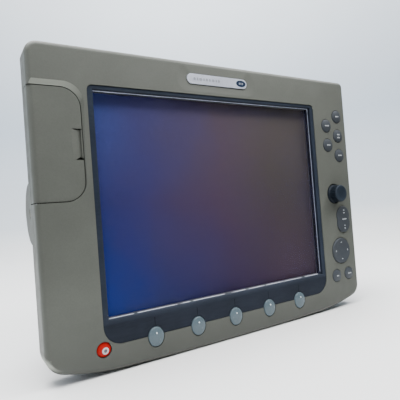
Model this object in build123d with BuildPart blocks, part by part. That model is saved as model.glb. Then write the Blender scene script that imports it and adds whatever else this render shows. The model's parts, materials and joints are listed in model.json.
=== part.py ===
from build123d import *
from math import radians, sin
import os

# A flush- or bracket-mounted marine display head: a bezel with the screen and controls,
# a rear case with the sockets, and the electronics between them. Millimetres, +Z up,
# the user looks along +Y. The origin is under the middle of the object's box.

os.makedirs("parts", exist_ok=True)

# Where the layout sits: every front() sketch is drawn from the screen's centre
screen_x = -4.5
screen_z = 136.5
front_y = -43.25

# Bezel
bezel_left, bezel_right = -174.5, 183.5
bezel_top, bezel_bottom = 128.5, -136.5
bezel_depth = 22.0
bezel_wall = 2.5
front_wall = 3.0
front_round = 4.0
top_left_round, top_right_round = 10.0, 6.0
bow_radius = 4100.0
sweep_radius_left, sweep_radius_right = 200.0, 250.0
bow_angle = 1.6
sweep_angle = 15.3
centre_x = (bezel_left + bezel_right) / 2

# Thick places behind the bezel's front wall
well_half_x, well_bottom, well_top = 132.4, -98.5, 100.5
soft_wall_bottom, soft_wall_top = -126.0, -97.0
knob_boss_wall, knob_boss_depth = 2.2, 5.2
door_block_bottom, door_block_top = -4.0, 101.0
door_block_margin = 1.5
bay_block_right = -138.0
hinge_block_width = 7.5
outer_margin = 2.0

# Case flange, sealing rib and screws, as distances in from the bezel's outline
flange_inset = 2.7
rib_inset, rib_width = 7.6, 1.8
screw_inset = 5.2
flange_thickness = 3.0
flange_front = bezel_depth - flange_thickness
seal_thickness = 1.4
seal_margin = 0.2
case_screw_boss_r, case_screw_r, case_screw_tip = 2.5, 1.2, 11.0
case_screw_clearance_r, case_screw_head_r = 1.5, 2.2
case_screw_seat = 1.6

# Rear case
case_half_width = 165.0
case_top, case_bottom = 116.5, -129.0
case_back = 86.0
case_wall = 3.0
case_draft = 1.5
case_top_round, case_bottom_round = 20.0, 45.0
case_back_round = 5.0
cooling_ribs, cooling_pitch, cooling_width, cooling_height = 15, 12.0, 2.5, 3.0
cooling_bottom, cooling_top = 10.0, 95.0

# Bracket bosses on the case's sides, and the flush-mounting inserts in its corners
boss_span = 173.8
boss_radius = 27.0
boss_depth = 52.0
boss_height = -3.5
bracket_thread_r = 3.4
bracket_insert_r = 6.0
bracket_housing_wall = 3.5
insert_length = 13.0
insert_set_back = 0.3
stud_x = 162.0
stud_top, stud_bottom = 112.0, -112.0
stud_thread_r = 1.65
stud_insert_r = 2.8
stud_boss_r, stud_boss_front = 4.0, 12.0

# Screen: a 12.1 inch panel, 4:3
active_width, active_height = 246.0, 184.5
window_half_x, window_half_z = 124.2, 93.7
surround_half_x = 129.4
surround_top, surround_bottom = 97.5, -114.5
surround_set_back = 0.8
surround_seat = 2.6
window_depth = 4.5
window_thickness = 2.0
window_gap = 0.2
ledge_depth = 7.0
well_depth = 9.3
surround_gap = 0.25
surround_lip = 0.6
pocket_half_x, pocket_half_z = 127.1, 96.6
glass_seat_x, glass_seat_z = 126.0, 95.5
seal_opening_x, seal_opening_z = 124.8, 94.4
ledge_opening_x, ledge_opening_z = 124.6, 94.2
lcd_half_x, lcd_half_z = 137.5, 104.5
lcd_front, lcd_back = 9.5, 20.0
lcd_sheet = 0.8
active_margin = 1.2
panel_half_x, panel_half_z = 134.0, 101.0
panel_front, panel_back = lcd_front + 0.85, lcd_front + 3.1
backlight_margin = 1.1
lamp_depth = 16.0
lamp_heights = (-99.5, 99.5)
lamp_r, lamp_groove_r, lamp_holder_r = 1.3, 1.8, 1.75
lamp_end, lamp_holder_start, lamp_holder_end = 132.0, 129.0, 136.0

# Keys: proud of the bezel, flanged behind its wall, all with the same travel
key_proud = 1.5
key_gap = 0.6
flange_gap = 0.3
flange_lip = 1.1
flange_height = 1.2
crown_drop, crown_edge_drop = 0.25, 1.1
cap_round = 1.2
hard_key_r = 7.3
small_key_r = 6.8
power_key_r = 5.7
power_key_face, power_key_gap = -0.1, 0.7
soft_key_rx, soft_key_rz = 7.2, 8.3
soft_key_proud = 2.0
soft_key_pitch = 42.4
soft_key_shift, soft_key_z = 0.6, -115.8
soft_wall = 4.8
power_key_at = (-130.0, -116.0)
hard_keys = {
    "page_key": (167.0, 86.0),
    "active_key": (148.5, 74.5),
    "waypoint_key": (167.0, 63.0),
    "data_key": (149.0, 52.0),
    "menu_key": (167.0, 40.0),
}
small_keys = {
    "ok_key": (146.5, -99.0),
    "cancel_key": (167.0, -98.7),
}

# Rotary knob, range rocker and trackpad
knob_at = (153.2, -4.8)
knob_r, knob_base_r = 9.8, 10.4
knob_proud = 10.5
knob_dish_r, knob_dish_depth = 11.75, 2.5
knob_round = 1.1
shaft_r = 3.0
shaft_clearance = 0.05
bush_r, bush_hole_r = 4.5, 5.0
encoder_half, encoder_height = 6.5, 6.5
rocker_at = (164.6, -35.2)
rocker_lobe_r = 10.4
rocker_lobe_offset = 4.8
rocker_pivot_depth = 5.0
rocker_pin_left, rocker_pin_right = 151.6, 175.5
rocker_lug_left, rocker_lug_right, rocker_lug_half = 150.9, 155.6, 2.5
rocker_hub_left, rocker_hub_right = 157.2, 172.0
rocker_foot_half_x, rocker_foot_half_z, rocker_foot = 4.0, 11.0, 4.8
trackpad_at = (157.0, -71.2)
trackpad_r = 14.4
trackpad_hole_r = 15.2
trackpad_pivot_depth = 6.0
pad_lip_r, pad_lip_proud = 12.6, 1.4
pad_back, pad_stem_r, pad_stem_end = 2.2, 3.5, 6.9
gimbal_r, gimbal_hole_r, gimbal_height = 7.6, 4.6, 3.2
gimbal_pin_start, gimbal_pin_end = 6.4, 10.4
carrier_r, carrier_hole_r, carrier_front = 12.6, 8.4, 4.5
pivot_r = 1.0
pivot_clearance = 0.05

# Membranes, key boards and the posts that hold them
mat_front, mat_thickness = 6.0, 1.4
soft_mat_front = 7.8
pad_height = 0.4
pad_r = 5.0
board_thickness = 1.6
board_post_r = 2.4
board_screw_r = 1.0
board_hole_r = 1.4
board_head_r, board_head_height = 1.9, 1.4
keypad_left, keypad_right = 139.8, 173.4
keypad_bottom, keypad_top = -108.0, 97.0
keypad_posts = [(143.5, 91.5), (143.5, 25.0), (143.5, -52.0), (143.5, -86.0)]
soft_posts = [(-63.6, -121.0), (-21.2, -121.0), (21.2, -121.0), (63.6, -121.0)]

# Card door on the left edge, and the bay behind it
door_right = -134.5
door_top, door_bottom = 94.0, 3.0
door_round = 16.0
door_gap = 0.7
door_set_back = 0.9
door_thickness = 2.2
door_seat = 3.4
catch_left = -143.5
catch_bottom, catch_top = 36.0, 61.0
catch_lip, catch_depth = 1.6, 1.5
catch_slit_left, catch_slit_width = -141.5, 0.7
catch_notch_peak, catch_notch_height = -137.0, 2.7
door_edge_round = 4.6
door_step_width, door_step_side = 4.2, 2.6
latch_left, latch_right = -141.8, -140.2
latch_bottom, latch_top, latch_length = 41.0, 56.0, 3.4
door_leg_end = 14.2
hinge_x, hinge_depth = -170.5, 10.0
hinge_pocket_r = 6.4
knuckle_r = 3.2
hinge_pin_r = 1.25
hinge_clearance = 0.05
bay_x, bay_z = -150.2, 48.5
bay_width, bay_height = 20.8, 80.2
bay_floor = 12.0
bay_floor_thickness = 3.0
seal_ring_width, seal_ring_margin, seal_ring_depth = 1.6, 1.0, 1.2
slot_x, slot_z = -149.0, 50.0
slot_width, slot_height = 5.5, 43.5
slot_depth = 36.0
reader_left, reader_right = -155.0, -143.0
reader_bottom, reader_top = 26.0, 74.0
reader_wall = 4.0
eject_at = (-149.0, 18.0)
eject_r, eject_collar_r = 3.0, 4.2
eject_front, eject_end = 6.5, 24.0

# Badge
badge_at = (0.3, 112.0)
badge_width, badge_height = 69.5, 9.5
badge_proud, badge_seat, badge_gap = 0.3, 0.9, 0.7
badge_dish_width, badge_dish_height, badge_dish_depth = 92.0, 24.0, 0.5
badge_inlay_at = (28.0, 112.2)
badge_inlay_rx, badge_inlay_rz = 6.0, 3.3
badge_inlay_proud, badge_inlay_seat = 0.4, 0.1

# Rear sockets, in one row low on the back: the power socket and four data sockets
socket_pitch = 40.0
socket_z = -85.0
power_spots = [(centre_x - 2 * socket_pitch, socket_z)]
data_spots = [(centre_x + k * socket_pitch, socket_z) for k in range(-1, 3)]
socket_spots = power_spots + data_spots
power_barrel_r, power_cavity_r = 12.0, 9.5
data_barrel_r, data_cavity_r = 10.5, 8.0
socket_flange_lip, socket_flange_thickness = 3.5, 2.0
socket_stem_r = 9.0
socket_seal_r, socket_seal_width, socket_seal_depth = 10.2, 2.0, 0.8
socket_end = 97.0
socket_floor = 0.5
insert_back = 90.0
insert_step = 0.6
contacts = [3, 4, 6, 7, 5]
contact_circle_r, contact_r, contact_depth = 4.6, 0.9, 3.0
nut_r, nut_thickness = 14.0, 4.0
vent_at = (centre_x + 118.0, -85.0)
vent_stem_r, vent_head_r, vent_head_height = 4.2, 7.0, 2.5

# Chassis plate and the boards and parts that it carries
chassis_front, chassis_thickness = 21.0, 1.5
chassis_back = chassis_front + chassis_thickness
chassis_half_x, chassis_bottom, chassis_top = 136.0, -116.0, 112.0
chassis_lip_bottom, chassis_lip_top, chassis_lip = -100.0, 95.0, 7.0
chassis_post_r, chassis_screw_r, chassis_screw_tip = 3.5, 1.25, 13.0
main_board_front = 30.0
main_board_back = main_board_front + board_thickness
inverter_board_front = 26.0
inverter_back = inverter_board_front + board_thickness
connector_board_front = 68.0
connector_board_back = connector_board_front + board_thickness
board_standoff_r = 3.0
sink_left, sink_bottom, sink_side = -14.0, -4.0, 50.0
sink_fins, sink_pitch, sink_fin, sink_base, sink_height = 9, 6.0, 2.0, 3.0, 15.0
processor_height = 2.2
buzzer_at = (90.0, -25.0)


def front(depth=0.0):
    """The plane a user faces, centred on the screen, this far behind the bezel's front."""
    origin = (screen_x, front_y + depth, screen_z)
    return Plane(origin=origin, x_dir=(1, 0, 0), z_dir=(0, -1, 0))


def sideways(x):
    """A plane across the object at this distance from the screen's centre, seen from +X."""
    return Plane(origin=(screen_x + x, front_y, screen_z), x_dir=(0, 1, 0), z_dir=(1, 0, 0))


def level(z):
    """A level plane at this height from the screen's centre: x across, y is depth."""
    return Plane(origin=(screen_x, front_y, screen_z + z), x_dir=(1, 0, 0), z_dir=(0, 0, 1))


def slab(left, right, bottom, top, near, far, corner=0.0, mode=Mode.ADD):
    """A flat block between two depths, with rounded corners if a radius is given."""
    with BuildSketch(front(near)) as section:
        with Locations(((left + right) / 2, (bottom + top) / 2)):
            if corner:
                RectangleRounded(right - left, top - bottom, corner)
            else:
                Rectangle(right - left, top - bottom)
    extrude(section.sketch, amount=near - far, mode=mode)


def disc(centres, radius, near, far, mode=Mode.ADD):
    """Round posts or holes along the depth, one at each centre."""
    with BuildSketch(front(near)) as section:
        with Locations(*centres):
            Circle(radius)
    extrude(section.sketch, amount=near - far, mode=mode)


def oval(centres, radius_x, radius_z, near, far, mode=Mode.ADD):
    """Oval posts or holes along the depth, one at each centre."""
    with BuildSketch(front(near)) as section:
        with Locations(*centres):
            Ellipse(radius_x, radius_z)
    extrude(section.sketch, amount=near - far, mode=mode)


def outline_slab(outline_sketch, near, far, mode=Mode.ADD):
    """A block with a ready-drawn outline between two depths."""
    with BuildSketch(front(near)) as section:
        add(outline_sketch)
    extrude(section.sketch, amount=near - far, mode=mode)


def rod_x(centre_z, centre_depth, start, end, radius, mode=Mode.ADD):
    """A round rod or hole lying across the object."""
    with BuildSketch(sideways(start)) as section:
        with Locations((centre_depth, centre_z)):
            Circle(radius)
    extrude(section.sketch, amount=end - start, mode=mode)


def rod_z(centre_x_, centre_depth, start, end, radius, mode=Mode.ADD):
    """An upright round rod or hole."""
    with BuildSketch(level(start)) as section:
        with Locations((centre_x_, centre_depth)):
            Circle(radius)
    extrude(section.sketch, amount=end - start, mode=mode)


# ---------------------------------------------------------------- outlines

with BuildSketch() as outline:
    with BuildLine():
        bow_right = JernArc((0, bezel_bottom), (1, 0), bow_radius, bow_angle)
        sweep_right = JernArc(
            bow_right @ 1, bow_right % 1, sweep_radius_right, sweep_angle - bow_angle
        )
        right_round = (bezel_right - (sweep_right @ 1).X) / (1 - sin(radians(sweep_angle)))
        corner_right = JernArc(
            sweep_right @ 1, sweep_right % 1, right_round, 90 - sweep_angle
        )
        bow_left = JernArc((0, bezel_bottom), (-1, 0), bow_radius, -bow_angle)
        sweep_left = JernArc(
            bow_left @ 1, bow_left % 1, sweep_radius_left, bow_angle - sweep_angle
        )
        left_round = ((sweep_left @ 1).X - bezel_left) / (1 - sin(radians(sweep_angle)))
        corner_left = JernArc(
            sweep_left @ 1, sweep_left % 1, left_round, sweep_angle - 90
        )
        Polyline(
            corner_right @ 1,
            (bezel_right, bezel_top),
            (bezel_left, bezel_top),
            corner_left @ 1,
        )
    make_face()
    top_corners = outline.vertices().group_by(Axis.Y)[-1].sort_by(Axis.X)
    fillet(top_corners[0], top_left_round)
    fillet(outline.vertices().group_by(Axis.Y)[-1].sort_by(Axis.X)[-1], top_right_round)


def inset_outline(amount):
    """The bezel's outline drawn smaller all round."""
    with BuildSketch() as smaller:
        add(outline.sketch)
        offset(amount=-amount, kind=Kind.INTERSECTION, mode=Mode.REPLACE)
    return smaller.sketch


wall_outline = inset_outline(bezel_wall)
flange_outline = inset_outline(flange_inset)
rib_outer = inset_outline(rib_inset)
rib_inner = inset_outline(rib_inset + rib_width)
seal_outer = inset_outline(rib_inset + seal_margin)
seal_inner = inset_outline(rib_inset + rib_width - seal_margin)


def case_outline(inset):
    """The rear case's outline, tighter at its top corners than at its bottom ones."""
    with BuildSketch() as section:
        with Locations((centre_x, (case_top + case_bottom) / 2)):
            Rectangle(2 * (case_half_width - inset), case_top - case_bottom - 2 * inset)
        fillet(section.vertices().group_by(Axis.Y)[-1], case_top_round - inset)
        fillet(section.vertices().group_by(Axis.Y)[0], case_bottom_round - inset)
    return section.sketch


with BuildSketch() as surround_outline:
    with Locations((0, (surround_top + surround_bottom) / 2)):
        Rectangle(2 * surround_half_x, surround_top - surround_bottom)
    fillet(surround_outline.vertices().group_by(Axis.Y)[-1], 5.0)
    fillet(surround_outline.vertices().group_by(Axis.Y)[0], 16.0)


def door_profile(right_at_top, right_at_bottom, top):
    """The card door's outline: open past the bezel's left edge, round at the right."""
    past_left = bezel_left - 6
    with BuildLine() as profile:
        Polyline(
            (past_left, door_bottom),
            (right_at_bottom, door_bottom),
            (right_at_top, top),
            (past_left, top),
            close=True,
        )
    face = make_face(profile.edges())
    right_corners = face.vertices().sort_by(Axis.X)[-2:]
    fillet(right_corners, door_round)


with BuildSketch() as door_outline:
    door_profile(door_right, door_right, door_top)

with BuildSketch() as rocker_outline:
    with Locations(
        (rocker_at[0], rocker_at[1] + rocker_lobe_offset),
        (rocker_at[0], rocker_at[1] - rocker_lobe_offset),
    ):
        Circle(rocker_lobe_r)

with BuildSketch() as rocker_hole:
    add(rocker_outline.sketch)
    offset(amount=key_gap, mode=Mode.REPLACE)

soft_key_spots = [(soft_key_shift + k * soft_key_pitch, soft_key_z) for k in range(-2, 3)]
case_screw_spots = [
    (-140.0, bezel_top - screw_inset),
    (-47.0, bezel_top - screw_inset),
    (47.0, bezel_top - screw_inset),
    (150.0, bezel_top - screw_inset),
    (bezel_right - screw_inset, 51.5),
    (bezel_right - screw_inset, -15.0),
    (bezel_right - screw_inset, -85.0),
    (bezel_left + screw_inset, -30.0),
    (bezel_left + screw_inset, -90.0),
    (-110.0, -130.0),
    (-47.0, -131.1),
    (47.0, -131.1),
    (110.0, -130.0),
]
chassis_post_spots = [(-112.0, 108.5), (112.0, 108.5), (-112.0, -112.0), (112.0, -112.0)]
stud_spots = [
    (centre_x + side * stud_x, z) for side in (-1, 1) for z in (stud_top, stud_bottom)
]
hinge_knuckles = [(79.0, door_top - door_gap - 0.2), (door_bottom + door_gap + 0.2, 19.0)]
hinge_pins = [(86.0, 99.0), (-2.0, 11.0)]

# ---------------------------------------------------------------- bezel

with BuildPart() as bezel_blank:
    outline_slab(outline.sketch, 0, bezel_depth)
    front_rim = bezel_blank.faces().sort_by(Axis.Y)[0].edges()
    fillet(front_rim, front_round)

with BuildPart() as front_bezel:
    add(bezel_blank.part)
    outline_slab(wall_outline, front_wall, bezel_depth, mode=Mode.SUBTRACT)

    # sealing rib, screw bosses, chassis posts
    outline_slab(rib_outer, front_wall, flange_front - seal_thickness)
    outline_slab(
        rib_inner, front_wall, flange_front - seal_thickness, mode=Mode.SUBTRACT
    )
    disc(case_screw_spots, case_screw_boss_r, front_wall - 1, flange_front)
    disc(chassis_post_spots, chassis_post_r, front_wall - 1, chassis_front)
    disc(keypad_posts, board_post_r, front_wall - 1, mat_front)

    # screen well, the thick wall under the soft keys, and the knob's boss
    slab(-well_half_x, well_half_x, well_bottom, well_top, front_wall - 1, well_depth)
    slab(
        -surround_half_x, surround_half_x, soft_wall_bottom, soft_wall_top,
        front_wall - 1, soft_wall,
    )
    disc(soft_posts, board_post_r, soft_wall - 1, soft_mat_front)
    disc([knob_at], knob_dish_r + knob_boss_wall, front_wall - 1, knob_boss_depth)

    # solid block behind the card door, deeper where the hinge pocket is
    for block_right, block_back in [
        (door_right + door_block_margin, well_depth),
        (bay_block_right, bay_floor + 2),
        (hinge_x + hinge_block_width, flange_front - seal_thickness),
    ]:
        slab(
            bezel_left + outer_margin, block_right, door_block_bottom, door_block_top,
            front_wall - 1, block_back,
        )

    # seat for the dark surround, pocket for the window, opening for the screen
    outline_slab(surround_outline.sketch, -1, surround_seat, mode=Mode.SUBTRACT)
    slab(
        -pocket_half_x, pocket_half_x, -pocket_half_z, pocket_half_z, -1, ledge_depth,
        mode=Mode.SUBTRACT,
    )
    slab(
        -ledge_opening_x, ledge_opening_x, -ledge_opening_z, ledge_opening_z,
        -1, well_depth + 1, mode=Mode.SUBTRACT,
    )

    # door recess with a sloped step round its top, widest over the top edge
    outline_slab(door_outline.sketch, -1, door_seat, mode=Mode.SUBTRACT)
    with BuildSketch(front(door_set_back)) as step_inner:
        door_profile(door_right, door_right, door_top)
    with BuildSketch(front(0)) as step_outer:
        door_profile(door_right + door_step_side, door_right, door_top + door_step_width)
    loft([step_outer.sketch, step_inner.sketch], mode=Mode.SUBTRACT)

    # hinge pocket, pin holes, seal groove and card bay
    rod_z(
        hinge_x, hinge_depth, door_bottom, door_top, hinge_pocket_r, mode=Mode.SUBTRACT
    )
    slab(
        bezel_left - 6, hinge_x, door_bottom, door_top, -1, door_leg_end + 0.6,
        mode=Mode.SUBTRACT,
    )
    slab(
        bezel_left - 6, hinge_x + hinge_pocket_r, door_bottom, door_top, -1, hinge_depth,
        mode=Mode.SUBTRACT,
    )
    for pin_start, pin_end in hinge_pins:
        rod_z(hinge_x, hinge_depth, pin_start, pin_end, hinge_pin_r, mode=Mode.SUBTRACT)
    inner_half_x = bay_width / 2 + seal_ring_margin
    inner_half_z = bay_height / 2 + seal_ring_margin
    ring_half_x = inner_half_x + seal_ring_width
    ring_half_z = inner_half_z + seal_ring_width
    slab(
        bay_x - ring_half_x, bay_x + ring_half_x, bay_z - ring_half_z, bay_z + ring_half_z,
        door_seat - 1, door_seat + seal_ring_depth, corner=ring_half_x - 0.1,
        mode=Mode.SUBTRACT,
    )
    slab(
        bay_x - inner_half_x, bay_x + inner_half_x, bay_z - inner_half_z,
        bay_z + inner_half_z, door_seat, door_seat + seal_ring_depth,
        corner=inner_half_x - 0.1,
    )
    slab(
        bay_x - bay_width / 2, bay_x + bay_width / 2, bay_z - bay_height / 2,
        bay_z + bay_height / 2, door_seat - 1, bay_floor, corner=bay_width / 2 - 0.1,
        mode=Mode.SUBTRACT,
    )
    slab(
        slot_x - slot_width / 2, slot_x + slot_width / 2, slot_z - slot_height / 2,
        slot_z + slot_height / 2, bay_floor - 1, bay_floor + bay_floor_thickness,
        mode=Mode.SUBTRACT,
    )
    disc(
        [eject_at], eject_r + 0.1, bay_floor - 1, bay_floor + bay_floor_thickness,
        mode=Mode.SUBTRACT,
    )

    # key holes through the wall, and room behind it for the key flanges
    disc(hard_keys.values(), hard_key_r + key_gap, -1, front_wall, mode=Mode.SUBTRACT)
    disc(small_keys.values(), small_key_r + key_gap, -1, front_wall, mode=Mode.SUBTRACT)
    disc(
        hard_keys.values(), hard_key_r + flange_lip + key_gap, front_wall, mat_front,
        mode=Mode.SUBTRACT,
    )
    disc(
        small_keys.values(), small_key_r + flange_lip + key_gap, front_wall, mat_front,
        mode=Mode.SUBTRACT,
    )
    disc(
        [power_key_at], power_key_r + power_key_gap, -1, front_wall + 1,
        mode=Mode.SUBTRACT,
    )
    disc(
        [power_key_at], power_key_r + flange_lip + key_gap, front_wall, soft_wall + 1,
        mode=Mode.SUBTRACT,
    )
    oval(
        soft_key_spots, soft_key_rx + key_gap, soft_key_rz + key_gap, -1, soft_wall + 1,
        mode=Mode.SUBTRACT,
    )
    outline_slab(rocker_hole.sketch, -1, front_wall, mode=Mode.SUBTRACT)
    disc([trackpad_at], trackpad_hole_r, -1, front_wall, mode=Mode.SUBTRACT)
    disc([knob_at], knob_dish_r, -1, knob_dish_depth, mode=Mode.SUBTRACT)
    disc([knob_at], bush_hole_r, -1, knob_boss_depth + 1, mode=Mode.SUBTRACT)

    # rocker pivot: one lug beside the hole, the rib is the other
    slab(
        rocker_lug_left, rocker_lug_right, rocker_at[1] - rocker_lug_half,
        rocker_at[1] + rocker_lug_half, front_wall, rocker_pivot_depth + 1.8,
    )
    rod_x(
        rocker_at[1], rocker_pivot_depth, rocker_pin_left, rocker_pin_right, pivot_r,
        mode=Mode.SUBTRACT,
    )

    # badge seat in a shallow dish, and the screw holes
    with BuildSketch(front(0)) as dish_rim:
        with Locations(badge_at):
            RectangleRounded(
                badge_dish_width, badge_dish_height, badge_dish_height / 2 - 0.1
            )
    with BuildSketch(front(badge_dish_depth)) as dish_floor:
        with Locations(badge_at):
            RectangleRounded(badge_width + 2, badge_height + 2, badge_height / 2 + 0.9)
    loft([dish_rim.sketch, dish_floor.sketch], mode=Mode.SUBTRACT)
    badge_half_x = badge_width / 2
    badge_half_z = badge_height / 2
    slab(
        badge_at[0] - badge_half_x - badge_gap, badge_at[0] + badge_half_x + badge_gap,
        badge_at[1] - badge_half_z - badge_gap, badge_at[1] + badge_half_z + badge_gap,
        -1, badge_seat, corner=badge_half_z + 0.3, mode=Mode.SUBTRACT,
    )
    disc(
        case_screw_spots, case_screw_r, case_screw_tip, flange_front + 1,
        mode=Mode.SUBTRACT,
    )
    disc(
        chassis_post_spots, chassis_screw_r, chassis_screw_tip, chassis_front + 1,
        mode=Mode.SUBTRACT,
    )
    disc(keypad_posts, board_screw_r, front_wall, mat_front + 1, mode=Mode.SUBTRACT)
    disc(soft_posts, board_screw_r, soft_wall, soft_mat_front + 1, mode=Mode.SUBTRACT)
front_bezel.part.label = "front_bezel"
export_step(front_bezel.part, "parts/front_bezel.step")

with BuildPart() as badge_plate:
    slab(
        badge_at[0] - badge_half_x, badge_at[0] + badge_half_x,
        badge_at[1] - badge_half_z, badge_at[1] + badge_half_z,
        -badge_proud, badge_seat, corner=badge_half_z - 0.01,
    )
    oval(
        [badge_inlay_at], badge_inlay_rx, badge_inlay_rz, -1, badge_inlay_seat,
        mode=Mode.SUBTRACT,
    )
badge_plate.part.label = "badge_plate"
export_step(badge_plate.part, "parts/badge_plate.step")

with BuildPart() as badge_inlay:
    oval(
        [badge_inlay_at], badge_inlay_rx - 0.05, badge_inlay_rz - 0.05,
        -badge_inlay_proud, badge_inlay_seat,
    )
badge_inlay.part.label = "badge_inlay"
export_step(badge_inlay.part, "parts/badge_inlay.step")

# ---------------------------------------------------------------- screen

with BuildSketch() as surround_edge:
    add(surround_outline.sketch)
    offset(amount=-surround_gap, mode=Mode.REPLACE)

with BuildPart() as screen_surround:
    outline_slab(surround_edge.sketch, surround_set_back, surround_seat)
    slab(
        window_gap - pocket_half_x, pocket_half_x - window_gap,
        window_gap - pocket_half_z, pocket_half_z - window_gap,
        surround_seat - 1, ledge_depth - 0.2,
    )
    slab(
        -window_half_x, window_half_x, -window_half_z, window_half_z,
        -1, ledge_depth + 1, mode=Mode.SUBTRACT,
    )
    slab(
        -glass_seat_x, glass_seat_x, -glass_seat_z, glass_seat_z, window_depth,
        ledge_depth + 1, mode=Mode.SUBTRACT,
    )
    oval(
        soft_key_spots, soft_key_rx + key_gap, soft_key_rz + key_gap, -1, ledge_depth,
        mode=Mode.SUBTRACT,
    )
    lip = screen_surround.edges().filter_by(GeomType.LINE)
    lip_y = front_y + surround_set_back
    lip = lip.filter_by_position(Axis.Y, lip_y - 0.1, lip_y + 0.1)
    lip = [e for e in lip if abs(e.center().X - screen_x) < window_half_x + 0.1]
    lip = [e for e in lip if abs(e.center().Z - screen_z) < window_half_z + 0.1]
    chamfer(lip, surround_lip)
screen_surround.part.label = "screen_surround"
export_step(screen_surround.part, "parts/screen_surround.step")

window_x = glass_seat_x - window_gap
window_z = glass_seat_z - window_gap
window_back = window_depth + window_thickness
with BuildPart() as display_window:
    slab(-window_x, window_x, -window_z, window_z, window_depth, window_back, corner=1)
display_window.part.label = "display_window"
export_step(display_window.part, "parts/display_window.step")

with BuildPart() as window_seal:
    slab(-window_x, window_x, -window_z, window_z, window_back, ledge_depth)
    slab(
        -seal_opening_x, seal_opening_x, -seal_opening_z, seal_opening_z, window_depth,
        ledge_depth + 1, mode=Mode.SUBTRACT,
    )
window_seal.part.label = "window_seal"
export_step(window_seal.part, "parts/window_seal.step")

with BuildPart() as lcd_frame:
    slab(-lcd_half_x, lcd_half_x, -lcd_half_z, lcd_half_z, lcd_front, lcd_back, corner=2)
    slab(
        lcd_sheet - lcd_half_x, lcd_half_x - lcd_sheet, lcd_sheet - lcd_half_z,
        lcd_half_z - lcd_sheet, lcd_front + lcd_sheet, lcd_back + 1, corner=1.2,
        mode=Mode.SUBTRACT,
    )
    opening_x = active_width / 2 + active_margin
    opening_z = active_height / 2 + active_margin
    slab(
        -opening_x, opening_x, -opening_z, opening_z, lcd_front - 1, lcd_back,
        mode=Mode.SUBTRACT,
    )
lcd_frame.part.label = "lcd_frame"
export_step(lcd_frame.part, "parts/lcd_frame.step")

with BuildPart() as lcd_panel:
    slab(-panel_half_x, panel_half_x, -panel_half_z, panel_half_z, panel_front, panel_back)
lcd_panel.part.label = "lcd_panel"
export_step(lcd_panel.part, "parts/lcd_panel.step")

backlight_x = lcd_half_x - backlight_margin
backlight_z = lcd_half_z - backlight_margin
with BuildPart() as backlight_unit:
    slab(
        -backlight_x, backlight_x, -backlight_z, backlight_z, panel_back + 0.1,
        lcd_back - 0.3, corner=1.5,
    )
    for lamp_z in lamp_heights:
        rod_x(
            lamp_z, lamp_depth, -lcd_half_x, lcd_half_x, lamp_groove_r,
            mode=Mode.SUBTRACT,
        )
backlight_unit.part.label = "backlight_unit"
export_step(backlight_unit.part, "parts/backlight_unit.step")

with BuildPart() as backlight_lamps:
    for lamp_z in lamp_heights:
        rod_x(lamp_z, lamp_depth, -lamp_end, lamp_end, lamp_r)
        rod_x(lamp_z, lamp_depth, -lamp_holder_end, -lamp_holder_start, lamp_holder_r)
        rod_x(lamp_z, lamp_depth, lamp_holder_start, lamp_holder_end, lamp_holder_r)
backlight_lamps.part.label = "backlight_lamps"
export_step(backlight_lamps.part, "parts/backlight_lamps.step")

# ---------------------------------------------------------------- keys


def round_key(centre, radius, face, foot):
    """A domed round key with a retaining flange behind the bezel's wall."""
    key_x, key_z = centre
    flange = front_wall + flange_gap
    rim = radius + flange_lip
    with BuildPart() as key:
        with BuildSketch(level(key_z)):
            with BuildLine():
                crown = ThreePointArc(
                    (key_x, face), (key_x + radius * 0.55, face + crown_drop),
                    (key_x + radius, face + crown_edge_drop),
                )
                Polyline(
                    crown @ 1, (key_x + radius, flange), (key_x + rim, flange),
                    (key_x + rim, flange + flange_height),
                    (key_x + radius * 0.5, flange + flange_height),
                    (key_x + radius * 0.5, foot), (key_x, foot), crown @ 0,
                )
            make_face()
        axis_point = (screen_x + key_x, front_y, screen_z + key_z)
        revolve(axis=Axis(axis_point, (0, 1, 0)))
    return key


hard_key_foot = front_wall + flange_gap + flange_height + 0.1
for key_name, key_centre in hard_keys.items():
    hard_key = round_key(key_centre, hard_key_r, -key_proud, hard_key_foot)
    hard_key.part.label = key_name
    export_step(hard_key.part, f"parts/{key_name}.step")

for key_name, key_centre in small_keys.items():
    small_key = round_key(key_centre, small_key_r, -key_proud, hard_key_foot)
    small_key.part.label = key_name
    export_step(small_key.part, f"parts/{key_name}.step")

soft_key_foot = soft_wall + flange_gap + flange_height
power_key = round_key(power_key_at, power_key_r, power_key_face, soft_key_foot)
power_key.part.label = "power_key"
export_step(power_key.part, "parts/power_key.step")

for key_number, soft_spot in enumerate(soft_key_spots, start=1):
    with BuildPart() as soft_key:
        oval([soft_spot], soft_key_rx, soft_key_rz, -soft_key_proud, soft_key_foot)
        fillet(soft_key.faces().sort_by(Axis.Y)[0].edges(), cap_round)
        oval(
            [soft_spot], soft_key_rx + flange_lip, soft_key_rz + flange_lip,
            soft_wall + flange_gap, soft_key_foot,
        )
    soft_key.part.label = f"soft_key_{key_number}"
    export_step(soft_key.part, f"parts/soft_key_{key_number}.step")

# ---------------------------------------------------------------- key mats and boards

keypad_board_front = mat_front + mat_thickness
soft_board_front = soft_mat_front + mat_thickness

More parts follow.
